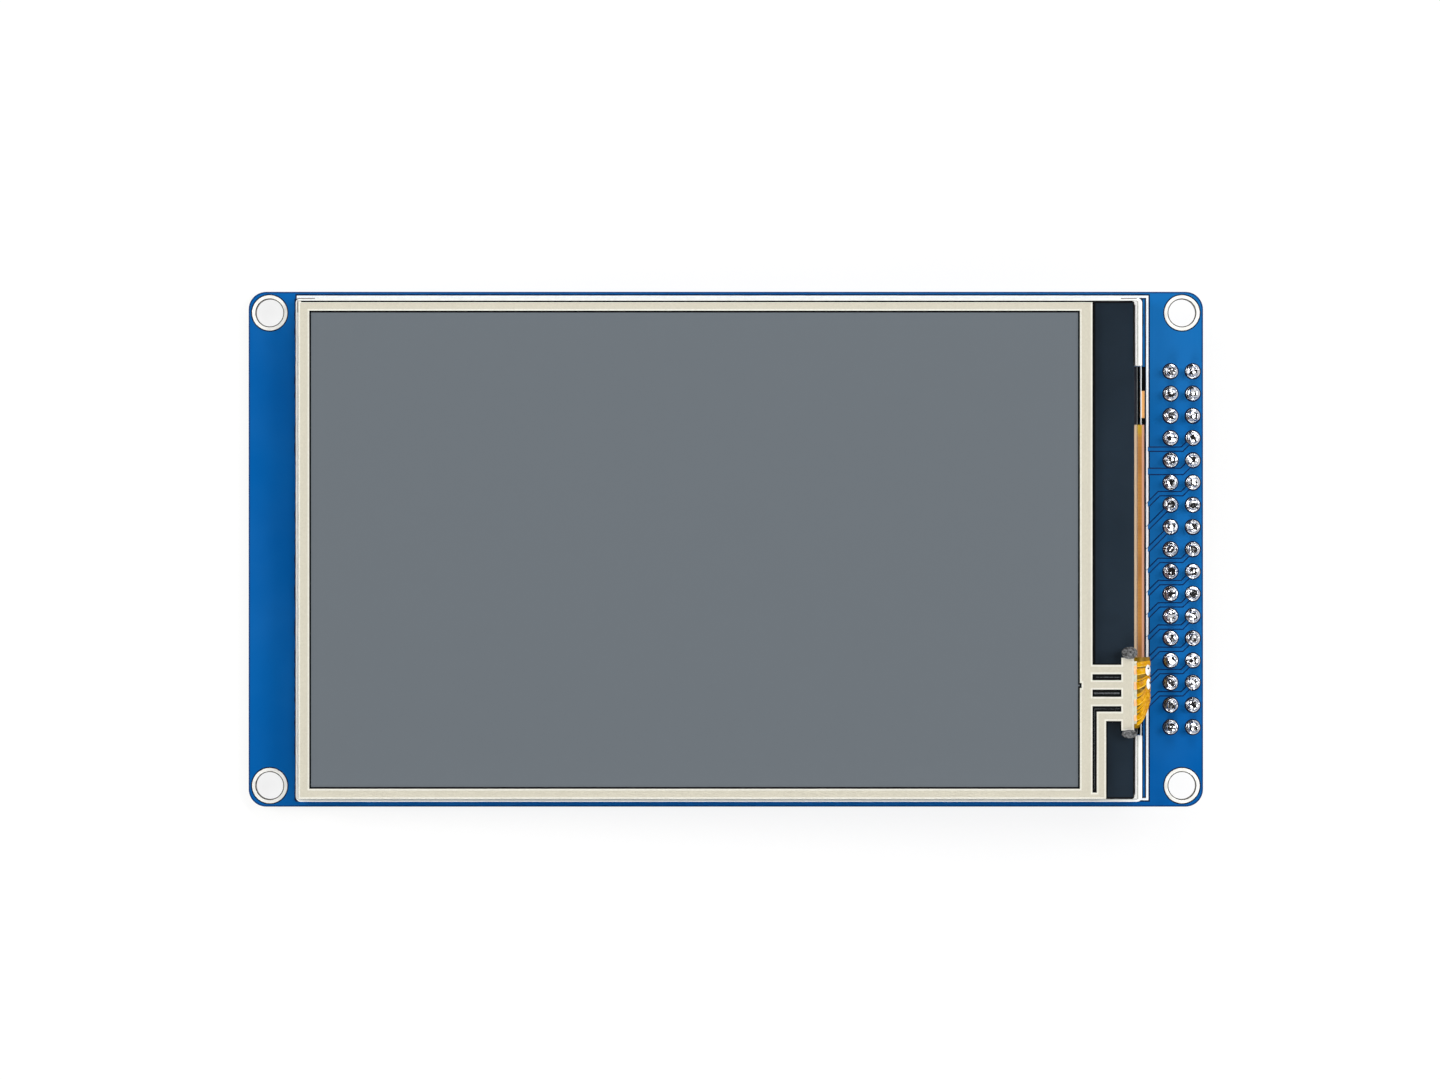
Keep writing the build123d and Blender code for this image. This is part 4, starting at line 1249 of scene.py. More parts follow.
@dataclass
class Backlight(Assembly):
    """The backlight: white frame, foam, light guide, its sheets and its diodes.

    Shadow lines, shades and runs of the gap shadow, all painted, are given by their two ends. A
    strip of the notch's painted shadow is given by its left and right edge, its height and its lower
    end, and the tape's edge by its left and right edge and its height.
    """

    top: float = 4.55
    diodes: int = 6
    frame_rounding: float = 0.09
    line_lift: float = 0.003
    line_width: float = 0.1
    # Painted shadow lines along the frame's edges.
    lines: tuple[tuple[Point, Point], ...] = (
        ((45.0, 28.52), (46.8, 28.52)),
        ((-48.82, 28.52), (-46.8, 28.52)),
        ((-48.82, 28.52), (-48.82, 26.97)),
    )
    shades: tuple[tuple[Point, Point], ...] = (
        ((46.86, 21.0), (46.86, 28.3)),
        ((46.86, -28.45), (46.86, -21.3)),
    )
    shade_width: float = 0.15
    # Black strips painted as the shadow beside the flex in the frame's notch.
    shield: tuple[Edges, ...] = (
        (47.02, 47.25, 2.62, -21.15),
        (47.42, 47.9, 1.612, -19.4),
    )
    shield_top: float = 20.85
    tape_edge: Place = (46.5, 47.02, 2.62)
    # Painted shadow in the gap between the frame and the board, along the frame's outer edges.
    gap_shadow_runs: tuple[tuple[Point, Point], ...] = (
        ((47.42, 20.9), (47.42, 28.6)),
        ((47.42, -28.7), (47.42, -19.4)),
        ((-49.0, 28.6), (-49.0, -28.7)),
    )
    gap_shadow_width: Span = (0.16, 0.34)
    gap_shadow_overlap: float = 0.1
    gap_shadow_step: float = 0.3
    gap_shadow_level: float = 1.614
    seed: int = 7

    def build(self) -> None:
        """Dress the backlight."""
        self.soften(
            "backlight_frame", "frame_shell", self.frame_rounding, "frame_white", FRAME_WHITE
        )
        self.dress(FOAM, "foam_pad_upper", "foam_pad_lower", "foam_pad_left")
        self.dress(REFLECTOR, "reflector_sheet")
        self.dress(GUIDE, "light_guide")
        self.dress(OPTICAL, "diffuser_sheet", "prism_sheet_lower", "prism_sheet_upper")
        self.dress(LED_BODY, *[f"led_{number + 1}" for number in range(self.diodes)])
        self.dress(BLACK_TAPE_AND_SHADOW, "light_shield_tape")
        self.add_lines()
        self.add_notch_shadow()
        self.add_gap_shadow()

    def add_lines(self) -> None:
        """Add the painted shadow lines along the frame's edges and the painted shade beside the glass
        on the frame's top.
        """
        maker = MeshMaker("frame_shadow_lines")
        level = self.top + self.line_lift
        sets = ((self.lines, self.line_width, 0), (self.shades, self.shade_width, 1))
        for lines, width, slot in sets:
            for start, end in lines:
                run = Vector(end) - Vector(start)
                side = Vector((run.y, -run.x)).normalized() * width
                far = [(x + abs(side.x), y + abs(side.y)) for x, y in (start, end)]
                maker.band((start, end), far, level, slot=slot)
        self.install(maker.object(FRAME_SHADOW_LINE, FRAME_SHADE, facing=Side.FRONT), "frame_white")

    def add_gap_shadow(self) -> None:
        """Add the uneven painted shadow in the gap along the frame's foot, on the board."""
        chance = random.Random(self.seed)
        maker = MeshMaker("frame_gap_shadow")
        for (x, first_y), (_, last_y) in self.gap_shadow_runs:
            length = last_y - first_y
            outward = math.copysign(1.0, x)
            steps = int(abs(length) / self.gap_shadow_step)
            near = []
            far = []
            width = chance.uniform(*self.gap_shadow_width)
            for step in range(steps + 1):
                y = first_y + length * step / steps
                width = (width + chance.uniform(*self.gap_shadow_width)) / 2
                near.append((x - outward * self.gap_shadow_overlap, y))
                far.append((x + outward * width, y))
            maker.band(near, far, self.gap_shadow_level)
        self.install(maker.object(DARK_RING, facing=Side.FRONT), "tape_black")

    def add_notch_shadow(self) -> None:
        """Add the black strips of painted shadow on both sides of the lip in the frame's notch, and the
        tape's edge.
        """
        maker = MeshMaker("notch_shadow")
        edge_left, edge_right, edge_level = self.tape_edge
        strips = [(*strip, 0) for strip in self.shield]
        strips.append((edge_left, edge_right, edge_level, self.shield[0][3], 1))
        for left, right, level, low, slot in strips:
            maker.rectangle((left, right, low, self.shield_top), level, slot)
        self.install(maker.object(BLACK_TAPE_AND_SHADOW, TAPE_END, facing=Side.FRONT), "tape_black")


@dataclass
class LiquidCrystalCell(Assembly):
    """The cell: two glasses between polarisers, and the covered ledge with its driver."""

    def build(self) -> None:
        """Dress the cell."""
        self.dress(SCREEN, "rear_polarizer", "front_polarizer")
        self.dress(CELL_GLASS, "tft_glass", "colour_filter_glass")
        self.dress(CHIP, "driver_chip")
        self.dress(BLACK_TAPE_AND_SHADOW, "driver_cover_tape")


@dataclass
class TouchPanel(Assembly):
    """The touch panel: glass, printed border with its tracks, film and glue.

    The track tops are the upper edges of three tracks that run to the pad. The corner is that of a
    fourth track: left and right edge of its upright leg, and upper edge of its run to the pad. The
    notch in the window is given by its depth, its upper and its lower edge.
    """

    print_top: float = 5.7
    glass_top: float = 5.65
    film_top: float = 5.9
    glass_rounding: float = 0.07
    film_rounding: float = 0.03
    tint_lift: float = 0.003
    rim_lift: float = 0.004
    rim_width: float = 0.2
    border: Edges = (-48.64, 41.71, -28.41, 28.24)
    window: Edges = (-47.40, 40.28, -27.25, 27.15)
    pad: Edges = (45.0, 46.45, -20.63, -12.33)
    track_tops: Place = (-13.15, -14.90, -16.79)
    track_width: float = 1.06
    corner: Place = (42.20, 43.26, -18.48)
    foot_top: float = -27.69
    notch: Place = (0.2, -15.21, -15.79)
    ledge_right: float = 46.3
    line_lift: float = 0.004
    line_width: float = 0.17
    upper_line_start: float = 0.3
    upper_line_gap: float = 0.04
    upper_line_lift: float = 0.008
    window_line: float = 0.2
    window_line_lift: float = 0.006
    dried_lift: float = 0.01
    dried_step: float = 0.07
    dried_sway: float = 0.02
    dried_shares: Span = (0.35, 1.15)
    dried_starts: Point = (0.4, 0.2)
    dried_widths: tuple[float, ...] = (0.07, 0.2, 0.06, 0.04)
    dried_end: float = 0.2
    dried_foot: float = 0.3
    least_steps: int = 8
    glue_right: float = 46.83
    glue_foot: float = 0.24
    glue_height: float = 0.3
    glue_dome: float = 0.8
    glue_middle: float = 0.42
    glue_reach: float = 0.55
    glue_squareness: float = 0.75
    glue_swell: float = 0.05
    glue_lump: float = 0.5
    glue_shares: tuple[float, ...] = (1.0, 0.97, 0.92, 0.84, 0.74, 0.62, 0.48, 0.32, 0.16, 0.0)
    glue_segments: int = 56
    swell_scale: float = 2.0
    lump_scales: tuple[Point, Point] = ((4.0, 1.3), (9.0, 4.1))
    seed: int = 5

    def build(self) -> None:
        """Dress the touch panel and add its fine lines and glue."""
        self.soften(
            "touch_glass", "panel_glass", self.glass_rounding, "touch_glass", PANEL_GLASS,
            GROUND_EDGE,
        )
        self.soften("touch_film", "top_film", self.film_rounding, "touch_film", TOP_FILM)
        self.dress(CREAM, "touch_border_print")
        self.dress(LEDGE_TAPE, "touch_bonding_tape")
        self.add_tint()
        self.add_rims()
        self.add_shadow_lines()
        self.add_dried_lines()
        self.add_glue("glue_upper", "glue_dab_upper", 1)
        self.add_glue("glue_lower", "glue_dab_lower", -1)

    def add_tint(self) -> None:
        """Add a hazy layer of the screen's grey in the window, between the glass and the film, which
        paints over the shade that the border casts on the screen.
        """
        maker = MeshMaker("window_tint")
        maker.rectangle(self.window, self.glass_top + self.tint_lift)
        self.install(maker.object(WINDOW_TINT, facing=Side.FRONT), "polarizer_grey")

    def loops(self) -> list[list[Point]]:
        """Trace the cream print, with the print on the left of each outline.

        Returns:
            The corners of its outer edge, of its two straight gaps, of its bent gap and of the
            window.
        """
        left, right, bottom, top = self.border
        pad_left, pad_right, pad_low, pad_high = self.pad
        leg_left, leg_right, corner_top = self.corner
        first, second, third = self.track_tops
        width = self.track_width
        outer = [
            (right, top), (left, top), (left, bottom), (leg_right, bottom),
            (leg_right, corner_top - width), (pad_left, corner_top - width),
            (pad_left, pad_low), (pad_right, pad_low), (pad_right, pad_high),
            (pad_left, pad_high), (pad_left, first), (right, first),
        ]
        gaps = []
        for high, low in ((first - width, second), (second - width, third)):
            gaps.append([(right, high), (pad_left, high), (pad_left, low), (right, low)])
        slot = [
            (right, third - width), (pad_left, third - width), (pad_left, corner_top),
            (leg_left, corner_top), (leg_left, self.foot_top), (right, self.foot_top),
        ]
        w_left, w_right, w_bottom, w_top = self.window
        depth, notch_top, notch_low = self.notch
        window = [
            (w_left, w_top), (w_right, w_top), (w_right, notch_top), (w_right + depth, notch_top),
            (w_right + depth, notch_low), (w_right, notch_low), (w_right, w_bottom), (w_left, w_bottom),
        ]
        return [outer, *gaps, slot, window]

    def add_rims(self) -> None:
        """Add the paler rim that the print has along every outline."""
        maker = MeshMaker("print_rims")
        level = self.print_top + self.rim_lift
        for loop in self.loops():
            maker.band(loop, shift_path(loop, self.rim_width, closed=True), level, wrap=True)
        self.install(maker.object(CREAM_RIM, facing=Side.FRONT), "border_cream")

    def add_shadow_lines(self) -> None:
        """Add the black lines that border the print, the ledge and the glass."""
        left, right, bottom, top = self.border
        pad_left, _, pad_low, _ = self.pad
        _, leg_right, corner_top = self.corner
        first = self.track_tops[0]
        low_track = corner_top - self.track_width
        low_line = bottom + self.line_width
        high_line = top + self.upper_line_gap
        high_end = left + self.upper_line_start
        level = self.glass_top + self.line_lift
        paths = [
            ([(right, top), (right, first), (pad_left, first)], level),
            ([(pad_left, pad_low), (pad_left, low_track), (leg_right, low_track)], level),
            ([(leg_right, low_track), (leg_right, bottom)], level),
            ([(self.ledge_right, low_line), (leg_right, low_line)], level),
            (
                [(self.ledge_right, high_line), (high_end, high_line)],
                self.print_top + self.upper_line_lift,
            ),
        ]
        maker = MeshMaker("panel_lines")
        for path, height in paths:
            maker.band(path, shift_path(path, self.line_width), height)
        _, *gaps, slot, window = self.loops()
        for gap in gaps:
            maker.face([(*p, level) for p in gap])
        self.fill_slot(maker, slot, level)
        upper = self.print_top + self.window_line_lift
        inner = shift_path(window, -self.window_line, closed=True)
        maker.band(window, inner, upper, wrap=True)
        self.install(maker.object(BLACK_TAPE_AND_SHADOW, facing=Side.FRONT), "tape_black")

    def fill_slot(self, maker: MeshMaker, slot: Sequence[Point], level: float) -> None:
        """Fill the bent gap round the corner track, as two rectangles.

        Args:
            maker: collects the faces.
            slot: the six corners of the gap.
            level: height of the faces.
        """
        first, second, third, fourth, fifth, sixth = slot
        maker.face([(*p, level) for p in (first, second, third, (first[0], third[1]))])
        maker.face([(*p, level) for p in ((first[0], third[1]), fourth, fifth, sixth)])

    def add_dried_lines(self) -> None:
        """Add the uneven dried lines in the gaps between the tracks."""
        chance = random.Random(self.seed)
        right = self.border[1]
        pad_left = self.pad[0]
        first, second, third = self.track_tops
        slot_x = (right + self.corner[0]) / 2
        gap_y = [(top - self.track_width + low) / 2 for top, low in ((first, second), (second, third))]
        turn_y = (third - self.track_width + self.corner[2]) / 2
        ends_x = pad_left - self.dried_end
        runs = [
            ((right + self.dried_starts[0], gap_y[0]), (ends_x, gap_y[0])),
            ((right + self.dried_starts[1], gap_y[1]), (ends_x, gap_y[1])),
            ((slot_x, turn_y), (ends_x, turn_y)),
            ((slot_x, turn_y), (slot_x, self.foot_top + self.dried_foot)),
        ]
        maker = MeshMaker("dried_lines")
        level = self.glass_top + self.dried_lift
        sway = self.dried_sway
        for (start, end), width in zip(runs, self.dried_widths):
            run = Vector(end) - Vector(start)
            steps = max(self.least_steps, int(run.length / self.dried_step))
            across = Vector((-run.y, run.x)).normalized()
            sides = ([], [])
            for step in range(steps + 1):
                middle = Vector(start) + run * (step / steps) + across * chance.uniform(-sway, sway)
                half = width / 2 * chance.uniform(*self.dried_shares)
                for sign, side in zip((1, -1), sides):
                    side.append(tuple(middle + across * half * sign))
            maker.band(*sides, level)
        self.install(maker.object(RESIDUE, facing=Side.FRONT), "glue_grey")

    def add_glue(self, name: str, node: str, outward: int) -> None:
        """Add a lumpy dab of glue in a node's place.

        Args:
            name: name of the piece.
            node: the CAD node that the dab stands for.
            outward: 1 where the dab's round end points up the board, -1 where down.
        """
        low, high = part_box(node)
        x = (low.x / MM + self.glue_right) / 2
        half_width = (self.glue_right - low.x / MM) / 2
        near_y = (low.y if outward > 0 else high.y) / MM
        reach = (high.y - low.y) / MM
        rows = []
        widest = 1 + self.glue_swell
        scale = self.swell_scale
        for share in self.glue_shares:
            dome = self.glue_height * math.sqrt(max(0.0, 1 - share * share)) * self.glue_dome
            ring = []
            for side, along in directions(self.glue_segments):
                spot = Vector((side * scale, along * scale, near_y))
                swell = 1 + self.glue_swell * noise.noise(spot)
                across = math.copysign(abs(side) ** self.glue_squareness, side)
                px = x + half_width * share * swell * across / widest
                away = self.glue_middle + self.glue_reach * share * swell * along / widest
                py = near_y + outward * reach * away
                lump = sum(noise.noise(Vector((px * k, py * k, z))) for k, z in self.lump_scales)
                level = dome * (1 + self.glue_lump * lump)
                ring.append((px, py, self.film_top + max(0.0, min(self.glue_height, level))))
            rows.append(ring)
        rows.insert(0, [(px, py, self.film_top - self.glue_foot) for px, py, _ in rows[0]])
        maker = MeshMaker(name)
        maker.grid(rows, wrap=True)
        self.install(maker.object(GLUE, facing=Side.FRONT), "glue_grey", node)


@dataclass
class FlexCircuits(Assembly):
    """The flexible circuits of the screen, the touch panel and the backlight.

    A finger is given by its middle along Y and its width, and a sweep by a conductor's middle along
    Y and its width, first at the fingers and then at the ribbon. A painted glint, in lands, is given
    by its middle, half its length along X and Y, and its dark spots, each by its place from the
    glint's middle and its radius. Of two lifts, the first is for fingers or glints, the second for
    what lies with them.
    """

    tail_top: float = 5.77
    bend_radius: float = 1.5
    tail_reach: float = 48.33
    tail_start: float = 46.45
    finger_right: float = 46.76
    finger_lap: float = 0.03
    finger_lifts: Point = (0.014, 0.008)
    fingers: tuple[Point, ...] = ((-13.75, 1.0), (-15.52, 0.88), (-17.46, 0.78), (-19.2, 0.66))
    sweeps: tuple[Edges, ...] = (
        (-13.16, 0.5, -12.96, 0.62),
        (-13.98, 0.7, -13.72, 0.6),
        (-14.93, 0.2, -14.2, 0.16),
        (-15.52, 0.84, -14.62, 0.44),
        (-16.66, 0.34, -15.02, 0.18),
        (-17.42, 0.74, -15.42, 0.34),
        (-18.14, 0.24, -15.78, 0.16),
        (-18.56, 0.22, -16.02, 0.14),
        (-19.2, 0.6, -16.42, 0.32),
        (-19.86, 0.38, -16.98, 0.3),
    )
    sweep_shift: float = 0.12
    sweep_bend: float = 0.85
    sweep_lap: float = 0.02
    sweep_steps: int = 32
    strand_shares: tuple[float, ...] = (-1.0, -0.72, -0.4, 0.0, 0.4, 0.75, 1.0)
    row_faces: int = 6
    rise: float = 0.07
    skin_lift: float = 0.004
    glint_lifts: Point = (0.08, 0.15)
    glint_dome: float = 0.06
    glint_shares: tuple[float, ...] = (1.0, 0.85, 0.6, 0.3, 0.0)
    land_segments: int = 32
    # Two painted glints on the tail's bend: white ovals with dark spots.
    lands: tuple[tuple[Point, Point, tuple[Place, ...]], ...] = (
        ((47.99, -13.75), (0.28, 0.62), ((0.0, 0.2, 0.1), (0.06, -0.34, 0.04))),
        ((48.05, -15.33), (0.23, 0.62), ((0.09, 0.2, 0.08), (0.13, 0.05, 0.06))),
    )

    def build(self) -> None:
        """Dress the circuits and add the touch tail's conductors."""
        self.dress(AMBER, "display_flex")
        self.dress(LED_AMBER, "led_flex")
        self.dress(TAIL_OLIVE, "touch_tail")
        self.dress(SOLDER, "display_flex_solder", "touch_tail_solder", "led_flex_solder")
        self.add_conductors()
        self.add_fingers()
        self.add_lands()

    def skin(self, x: float, y: float, lift: float) -> Place:
        """Return a point on the tail's outer skin, or just off it.

        Args:
            x: X of the point on the skin.
            y: Y of the point.
            lift: how far the point lies off the skin.

        Returns:
            The point.
        """
        bend_x = self.tail_reach - self.bend_radius
        if x <= bend_x:
            return (x, y, self.tail_top + lift)
        angle = math.asin(min(1.0, (x - bend_x) / self.bend_radius))
        radius = self.bend_radius + lift
        return (
            bend_x + radius * math.sin(angle),
            y,
            self.tail_top - self.bend_radius + radius * math.cos(angle),
        )

    def add_conductors(self) -> None:
        """Add the conductors, which sweep up from the fingers to the narrow ribbon, each with a painted
        highlight along its lower edge.
        """
        maker = MeshMaker("tail_conductors")
        for start_y, start_width, end_y, end_width in self.sweeps:
            start = Vector((self.finger_right - self.sweep_lap, start_y))
            control = Vector((self.tail_reach - self.sweep_bend, start_y + self.sweep_shift))
            end = Vector((self.tail_reach - self.sweep_lap, end_y))
            rows = []
            for step in range(self.sweep_steps + 1):
                t = step / self.sweep_steps
                middle = start * (1 - t) ** 2 + control * 2 * t * (1 - t) + end * t * t
                run = (control - start) * (1 - t) + (end - control) * t
                across = Vector((-run.y, run.x)).normalized()
                width = start_width + (end_width - start_width) * t
                rows.append(self.strand_row(middle, across, width))
            maker.grid(rows)
        # The first face of each row, on the conductor's lower edge, takes the painted highlight.
        for number, face in enumerate(maker.mesh.faces):
            if number % self.row_faces == 0:
                face.material_index = 1
        self.install(maker.object(TAIL_YELLOW, TAIL_HIGHLIGHT, facing=Side.FRONT), "flex_yellow")

    def strand_row(self, middle: Vector, across: Vector, width: float) -> list[Place]:
        """Return the points across one conductor, which is rounded on top.

        Args:
            middle: X and Y of the row's middle.
            across: the way across the conductor.
            width: the conductor's width.

        Returns:
            The points.
        """
        row = []
        farthest = self.tail_reach - self.skin_lift
        for share in self.strand_shares:
            spot = middle + across * width / 2 * share
            lift = self.skin_lift + self.rise * math.sqrt(1 - share * share)
            row.append(self.skin(min(spot.x, farthest), spot.y, lift))
        return row

    def add_fingers(self) -> None:
        """Add the bonded fingers where the tail meets the pad, and the pale glass between them."""
        maker = MeshMaker("tail_fingers")
        left = self.tail_start - self.finger_lap
        finger_lift, glass_lift = self.finger_lifts
        top = self.fingers[0][0] + self.fingers[0][1]
        bottom = self.fingers[-1][0] - self.fingers[-1][1]
        strips = [((top + bottom) / 2, top - bottom, glass_lift, 1)]
        strips += [(y, height, finger_lift, 0) for y, height in self.fingers]
        for y, height, lift, slot in strips:
            edges = (left, self.finger_right, y - height / 2, y + height / 2)
            maker.rectangle(edges, self.tail_top + lift, slot)
        self.install(maker.object(TAIL_PEACH, TAIL_PALE, facing=Side.FRONT), "flex_yellow")

    def add_lands(self) -> None:
        """Add two long painted glints on the tail's bend, white ovals with dark spots."""
        maker = MeshMaker("tail_glints")
        # Each glint is painted in tin, with its dark spots on it.
        for (x, y), size, holes in self.lands:
            self.add_disc(maker, (x, y), size, 0)
            for dx, dy, radius in holes:
                self.add_disc(maker, (x + dx, y + dy), (radius, radius), 1)
        self.install(maker.object(TIN_LAND_AND_GLINT, DARK_RING, facing=Side.FRONT), "solder")

    def add_disc(self, maker: MeshMaker, middle: Point, size: Point, slot: int) -> None:
        """Add a low oval dome on the tail's skin.

        Args:
            maker: collects the faces.
            middle: X and Y of the dome's middle.
            size: half its length along X and along Y.
            slot: its material slot, which also sets how far it stands off the skin.
        """
        rows = []
        farthest = self.tail_reach - self.skin_lift
        for share in self.glint_shares:
            lift = self.glint_lifts[slot] + self.glint_dome * (1 - share**2)
            ring = []
            for dx, dy in directions(self.land_segments):
                px = min(farthest, middle[0] + size[0] * share * dx)
                ring.append(self.skin(px, middle[1] + size[1] * share * dy, lift))
            rows.append(ring)
        maker.grid(rows, wrap=True, slot=slot)


@dataclass(frozen=True)
class Foot:
    """A soldered foot on the board's back.

    Attributes:
        x: X of its toe.
        y: Y of its toe.
        width: its width.
        outward: 1 where its toe points along +X, -1 where along -X.
    """

    x: float
    y: float
    width: float
    outward: int


@dataclass(frozen=True)
class Package:
    """A package on the board's back, by its feet.

    Attributes:
        middle: X and Y of its middle.
        reach: distance along X from there to the toes.
        width: width of a foot.
        spacing: spacing of the feet along Y.
        counts: how many feet it has towards +X and towards -X.
    """

    middle: Point
    reach: float
    width: float
    spacing: float
    counts: tuple[int, int]


@dataclass
class BackParts(Assembly):
    """The packages on the board's back, their leads and their solder.

    A column of chips is given by its X and their number, and a dimple by its X and Y and the height
    of the package's face. Profiles are radii and depths.
    """

    controller: Package = Package((34.0, -10.5), 3.2, 0.22, 0.65, (8, 8))
    regulator: Package = Package((34.0, 14.0), 3.5, 0.7, 2.3, (3, 1))
    driver: Package = Package((12.0, 14.0), 1.8, 0.4, 0.95, (3, 2))
    diode: Package = Package((19.0, 14.0), 1.6, 0.8, 0.0, (1, 1))
    inductor: Package = Package((4.0, 14.0), 2.0, 2.8, 0.0, (1, 1))
    chip_columns: tuple[tuple[float, int], ...] = ((27.0, 6), (24.0, 8))
    chip_spacing: float = 2.0
    chip_half: float = 0.8
    chip_width: float = 0.8
    case_rounding: float = 0.06
    core_rounding: float = 0.15
    toe_length: float = 0.32
    toe_lap: float = 0.02
    toe_overlap: float = 0.04
    toe_height: float = 0.16
    toe_foot: float = 0.006
    toe_edge: float = 0.004
    toe_fall: float = 1.8
    toe_round: float = 0.25
    toe_taper: float = 0.12
    toe_steps: int = 6
    toe_profile: tuple[float, ...] = (-1.0, -0.92, -0.6, 0.0, 0.6, 0.92, 1.0)
    dimples: tuple[Place, ...] = ((35.5, -8.7, -1.1), (12.45, 15.0, -1.2))
    dimple_profile: tuple[Point, ...] = ((0.25, 0.004), (0.215, 0.012), (0.175, 0.004), (0.0, 0.003))
    dimple_segments: int = 28
    cap_profile: tuple[Point, ...] = (
        (1.45, 0.004), (1.39, 0.03), (1.25, 0.03), (1.17, 0.006), (0.0, 0.006),
    )

    def build(self) -> None:
        """Dress the parts and add solder, dimples and the inductor's cap."""
        for name in ("touch_controller", "voltage_regulator", "backlight_driver", "boost_diode"):
            self.soften(
                f"{name}_body", f"{name}_case", self.case_rounding, "package_black", MOULDED
            )
        self.soften(
            "boost_inductor_core", "inductor_block", self.core_rounding, "ferrite_grey", FERRITE
        )
        self.dress(LEAD_TIN, "touch_controller_leads", "voltage_regulator_leads")
        self.dress(LEAD_TIN, "backlight_driver_leads", "boost_inductor_plates", "boost_diode_plates")
        self.dress(LEAD_TIN, "chip_terminals")
        self.dress(CERAMIC_TAN, "chip_capacitors")
        self.dress(RESISTOR, "chip_resistors")
        self.add_toes()
        self.add_dimples()
        self.add_cap()

    def feet(self) -> list[Foot]:
        """List the soldered feet on the back.

        Returns:
            The feet of the packages, then those of the chips.
        """
        feet = []
        packages = (self.controller, self.regulator, self.driver, self.diode, self.inductor)
        for package in packages:
            x, y = package.middle
            for outward, count in zip((1, -1), package.counts):
                for index in range(count):
                    foot_y = y + ((count - 1) / 2 - index) * package.spacing
                    feet.append(Foot(x + outward * package.reach, foot_y, package.width, outward))
        for x, count in self.chip_columns:
            for index in range(count):
                y = self.controller.middle[1] + ((count - 1) / 2 - index) * self.chip_spacing
                for outward in (1, -1):
                    feet.append(Foot(x + outward * self.chip_half, y, self.chip_width, outward))
        return feet

    def toe_row(self, foot: Foot, share: float) -> list[Place]:
        """Return the points across the solder at one foot's toe.

        Args:
            foot: the foot.
            share: distance from the toe as a share of the solder's length.

        Returns:
            The points.
        """
        half = foot.width / 2 + self.toe_overlap
        x = foot.x + foot.outward * (self.toe_length * share - self.toe_lap)
        depth = self.toe_height * (1 - share) ** self.toe_fall + self.toe_foot
        row = []
        for side in self.toe_profile:
            round_off = 1 - self.toe_round * side * side
            level = self.toe_edge if abs(side) == 1.0 else depth * round_off
            row.append((x, foot.y + half * side * (1 - self.toe_taper * share * share), -level))
        return row

    def add_toes(self) -> None:
        """Add the solder that runs from each foot's toe down to its land."""
        maker = MeshMaker("solder_toes")
        shares = [step / self.toe_steps for step in range(self.toe_steps + 1)]
        for foot in self.feet():
            maker.grid([self.toe_row(foot, share) for share in shares])
        self.install(maker.object(SOLDER, facing=Side.BACK), "solder")

    def add_dimples(self) -> None:
        """Add a shallow round dimple by the first lead of each package with many."""
        maker = MeshMaker("case_dimples")
        for x, y, face in self.dimples:
            profile = [(radius, face - depth) for radius, depth in self.dimple_profile]
            maker.turned((x, y), profile, self.dimple_segments)
        self.install(maker.object(RESISTOR, facing=Side.BACK), "package_black")

    def add_cap(self) -> None:
        """Add the round cap on the inductor's core."""
        low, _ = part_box("boost_inductor_core")
        face = low.z / MM
        maker = MeshMaker("inductor_cap")
        profile = [(radius, face - depth) for radius, depth in self.cap_profile]
        maker.turned(self.inductor.middle, profile)
        self.install(maker.object(RESISTOR, facing=Side.BACK), "ferrite_grey")


@dataclass(frozen=True)
class Lamp:
    """A square softbox that is aimed at the object.

    Attributes:
        name: its name.
        place: its place in metres.
        size: length of its sides in metres.
        power: its power in watts.
    """

    name: str
    place: Place
    size: float
    power: float


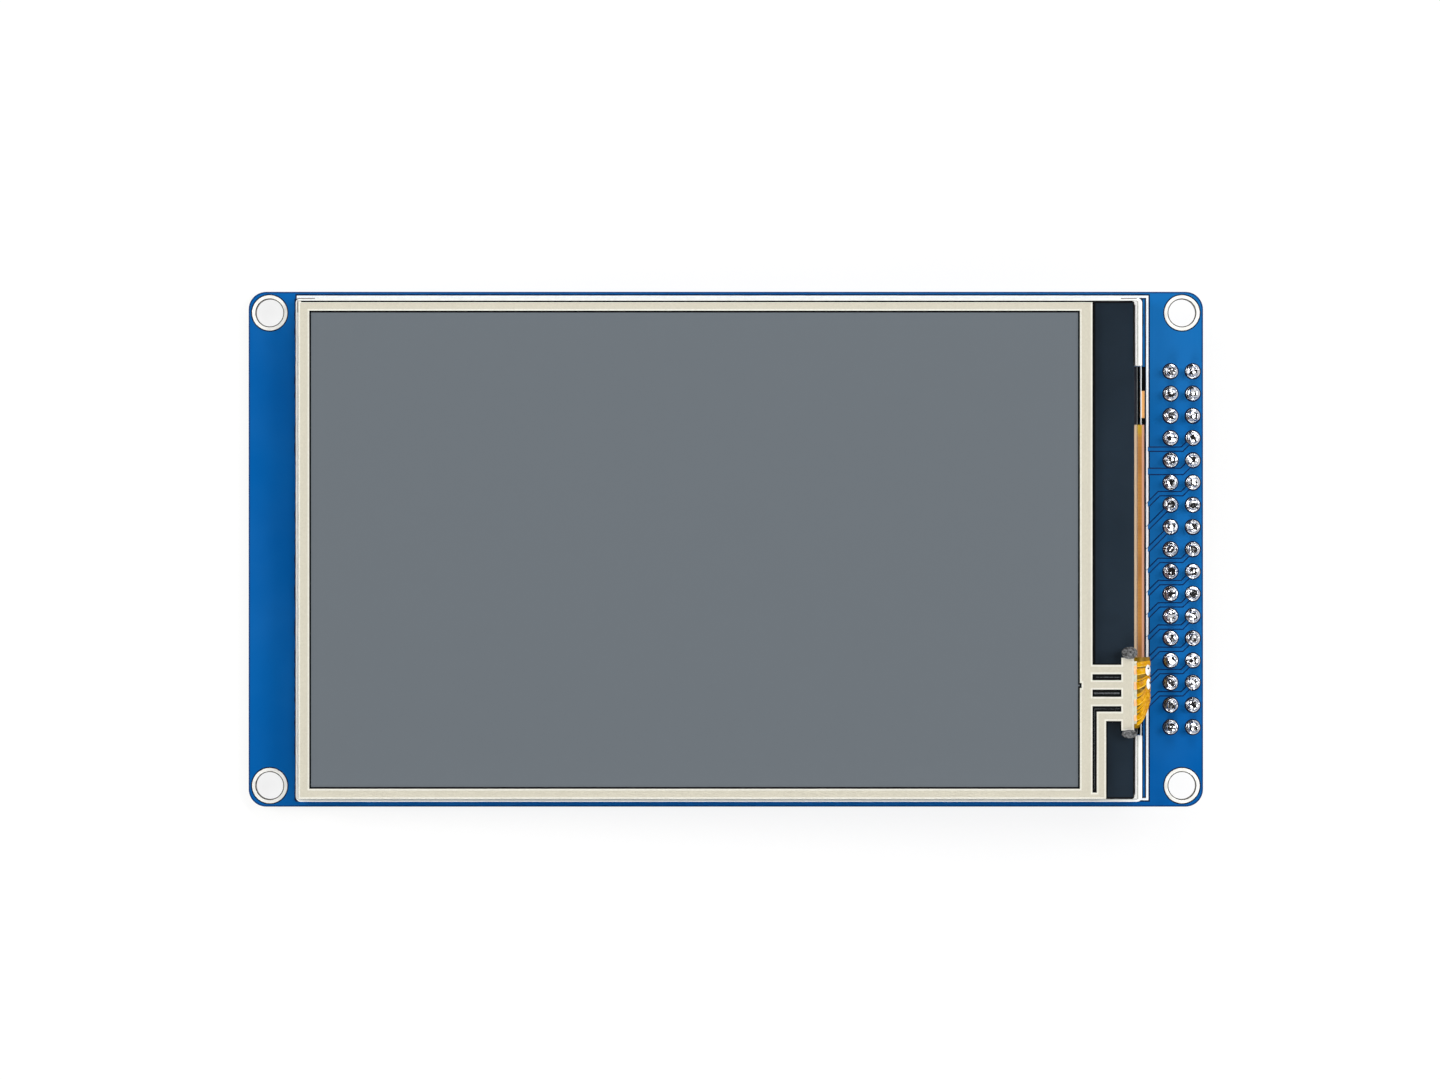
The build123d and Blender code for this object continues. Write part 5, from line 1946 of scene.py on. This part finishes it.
@dataclass
class Studio:
    """The floor that the object lies on, the light round it and the camera above it.

    The floor's two places are each an X and a height. The room's light depends on the direction, a
    unit vector: it falls to the ceiling's over a span of the vector's height, and to the dim side's
    over a span of its product with that side's direction.
    """

    floor_left: Point = (-54.5, 0.0)
    floor_right: Point = (50.55, -8.54)
    floor_half: float = 4000.0
    floor_gap: float = 0.01
    camera_place: Place = (-0.668, 1.057, 1046.6)
    view_width: float = 164.48
    camera_distance: float = 1045.0
    clip_start: float = 0.01
    clip_end: float = 50.0
    horizon: float = 1.0
    zenith: float = 0.02
    ceiling: Span = (0.68, 0.9)
    dim_side: Point = (-0.85, 0.5)
    dim_span: Span = (-0.05, 0.6)
    dim_share: float = 0.12
    lamps: tuple[Lamp, ...] = (
        Lamp("key_box", (0.55, 0.18, 0.62), 0.34, 3.2),
        Lamp("left_box", (-0.55, 0.2, 0.55), 0.3, 2.6),
        Lamp("upper_box", (0.08, 0.6, 0.5), 0.3, 2.0),
        Lamp("lower_box", (-0.05, -0.62, 0.5), 0.3, 2.0),
    )

    def build(self) -> None:
        """Make the floor, the light and the camera."""
        self.add_floor()
        self.add_world()
        for lamp in self.lamps:
            self.add_lamp(lamp)
        self.add_camera()

    def add_floor(self) -> None:
        """Lay a plane that touches the board's left edge and the tips of the header's pins."""
        maker = MeshMaker("floor")
        (left, left_z), (right, right_z) = self.floor_left, self.floor_right
        fall = (right_z - left_z) / (right - left)
        ends = (-self.floor_half, self.floor_half)
        foot = left_z - self.floor_gap
        maker.grid([[(x, y, foot + fall * (x - left)) for x in ends] for y in ends])
        maker.object(FLOOR_WHITE, facing=Side.FRONT)

    def add_world(self) -> None:
        """Light the room: white walls, dimmer on one side, and a dim ceiling over the camera."""
        graph = Graph(bpy.data.worlds.new("studio"), "OutputWorld")
        way = graph.add("TexCoord", {}).outputs["Generated"]
        height = graph.add("SeparateXYZ", {0: way}).outputs["Z"]
        inputs = {0: way, 1: (*self.dim_side, 0.0)}
        toward = graph.add("VectorMath", inputs, operation="DOT_PRODUCT").outputs["Value"]
        level = graph.change(height, self.ceiling, (self.horizon, self.zenith), smooth=True)
        side = graph.change(toward, self.dim_span, (1.0, self.dim_share), smooth=True)
        light = graph.add("Background", {"Strength": graph.math("MULTIPLY", level, side)})
        bpy.context.scene.world = graph.finish(light.outputs[0])

    def add_lamp(self, lamp: Lamp) -> None:
        """Hang one softbox and aim it at the object.

        Args:
            lamp: the softbox.
        """
        data = bpy.data.lights.new(lamp.name, "AREA")
        data.energy = lamp.power
        data.size = lamp.size
        made = bpy.data.objects.new(lamp.name, data)
        made.location = lamp.place
        made.rotation_euler = Vector(lamp.place).to_track_quat("Z", "Y").to_euler()
        made.visible_camera = False
        bpy.context.scene.collection.objects.link(made)

    def add_camera(self) -> None:
        """Put the camera straight above the screen."""
        data = bpy.data.cameras.new("camera")
        data.lens = data.sensor_width * self.camera_distance / self.view_width
        data.clip_start = self.clip_start
        data.clip_end = self.clip_end
        made = bpy.data.objects.new("camera", data)
        made.location = Vector(self.camera_place) * MM
        bpy.context.scene.collection.objects.link(made)
        bpy.context.scene.camera = made


def main() -> None:
    """Build and dress the display module and its studio."""
    logging.basicConfig(level=logging.INFO, format="%(message)s")
    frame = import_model()
    nodes = frame["nodes"]
    board = CircuitBoard(nodes)
    board.build()
    PinHeader(nodes, board.joint_places()).build()
    Backlight(nodes).build()
    LiquidCrystalCell(nodes).build()
    TouchPanel(nodes).build()
    FlexCircuits(nodes).build()
    BackParts(nodes).build()
    Studio().build()
    bpy.context.scene.view_settings.view_transform = "Standard"
    bpy.context.view_layer.update()


if __name__ == "__main__":
    main()
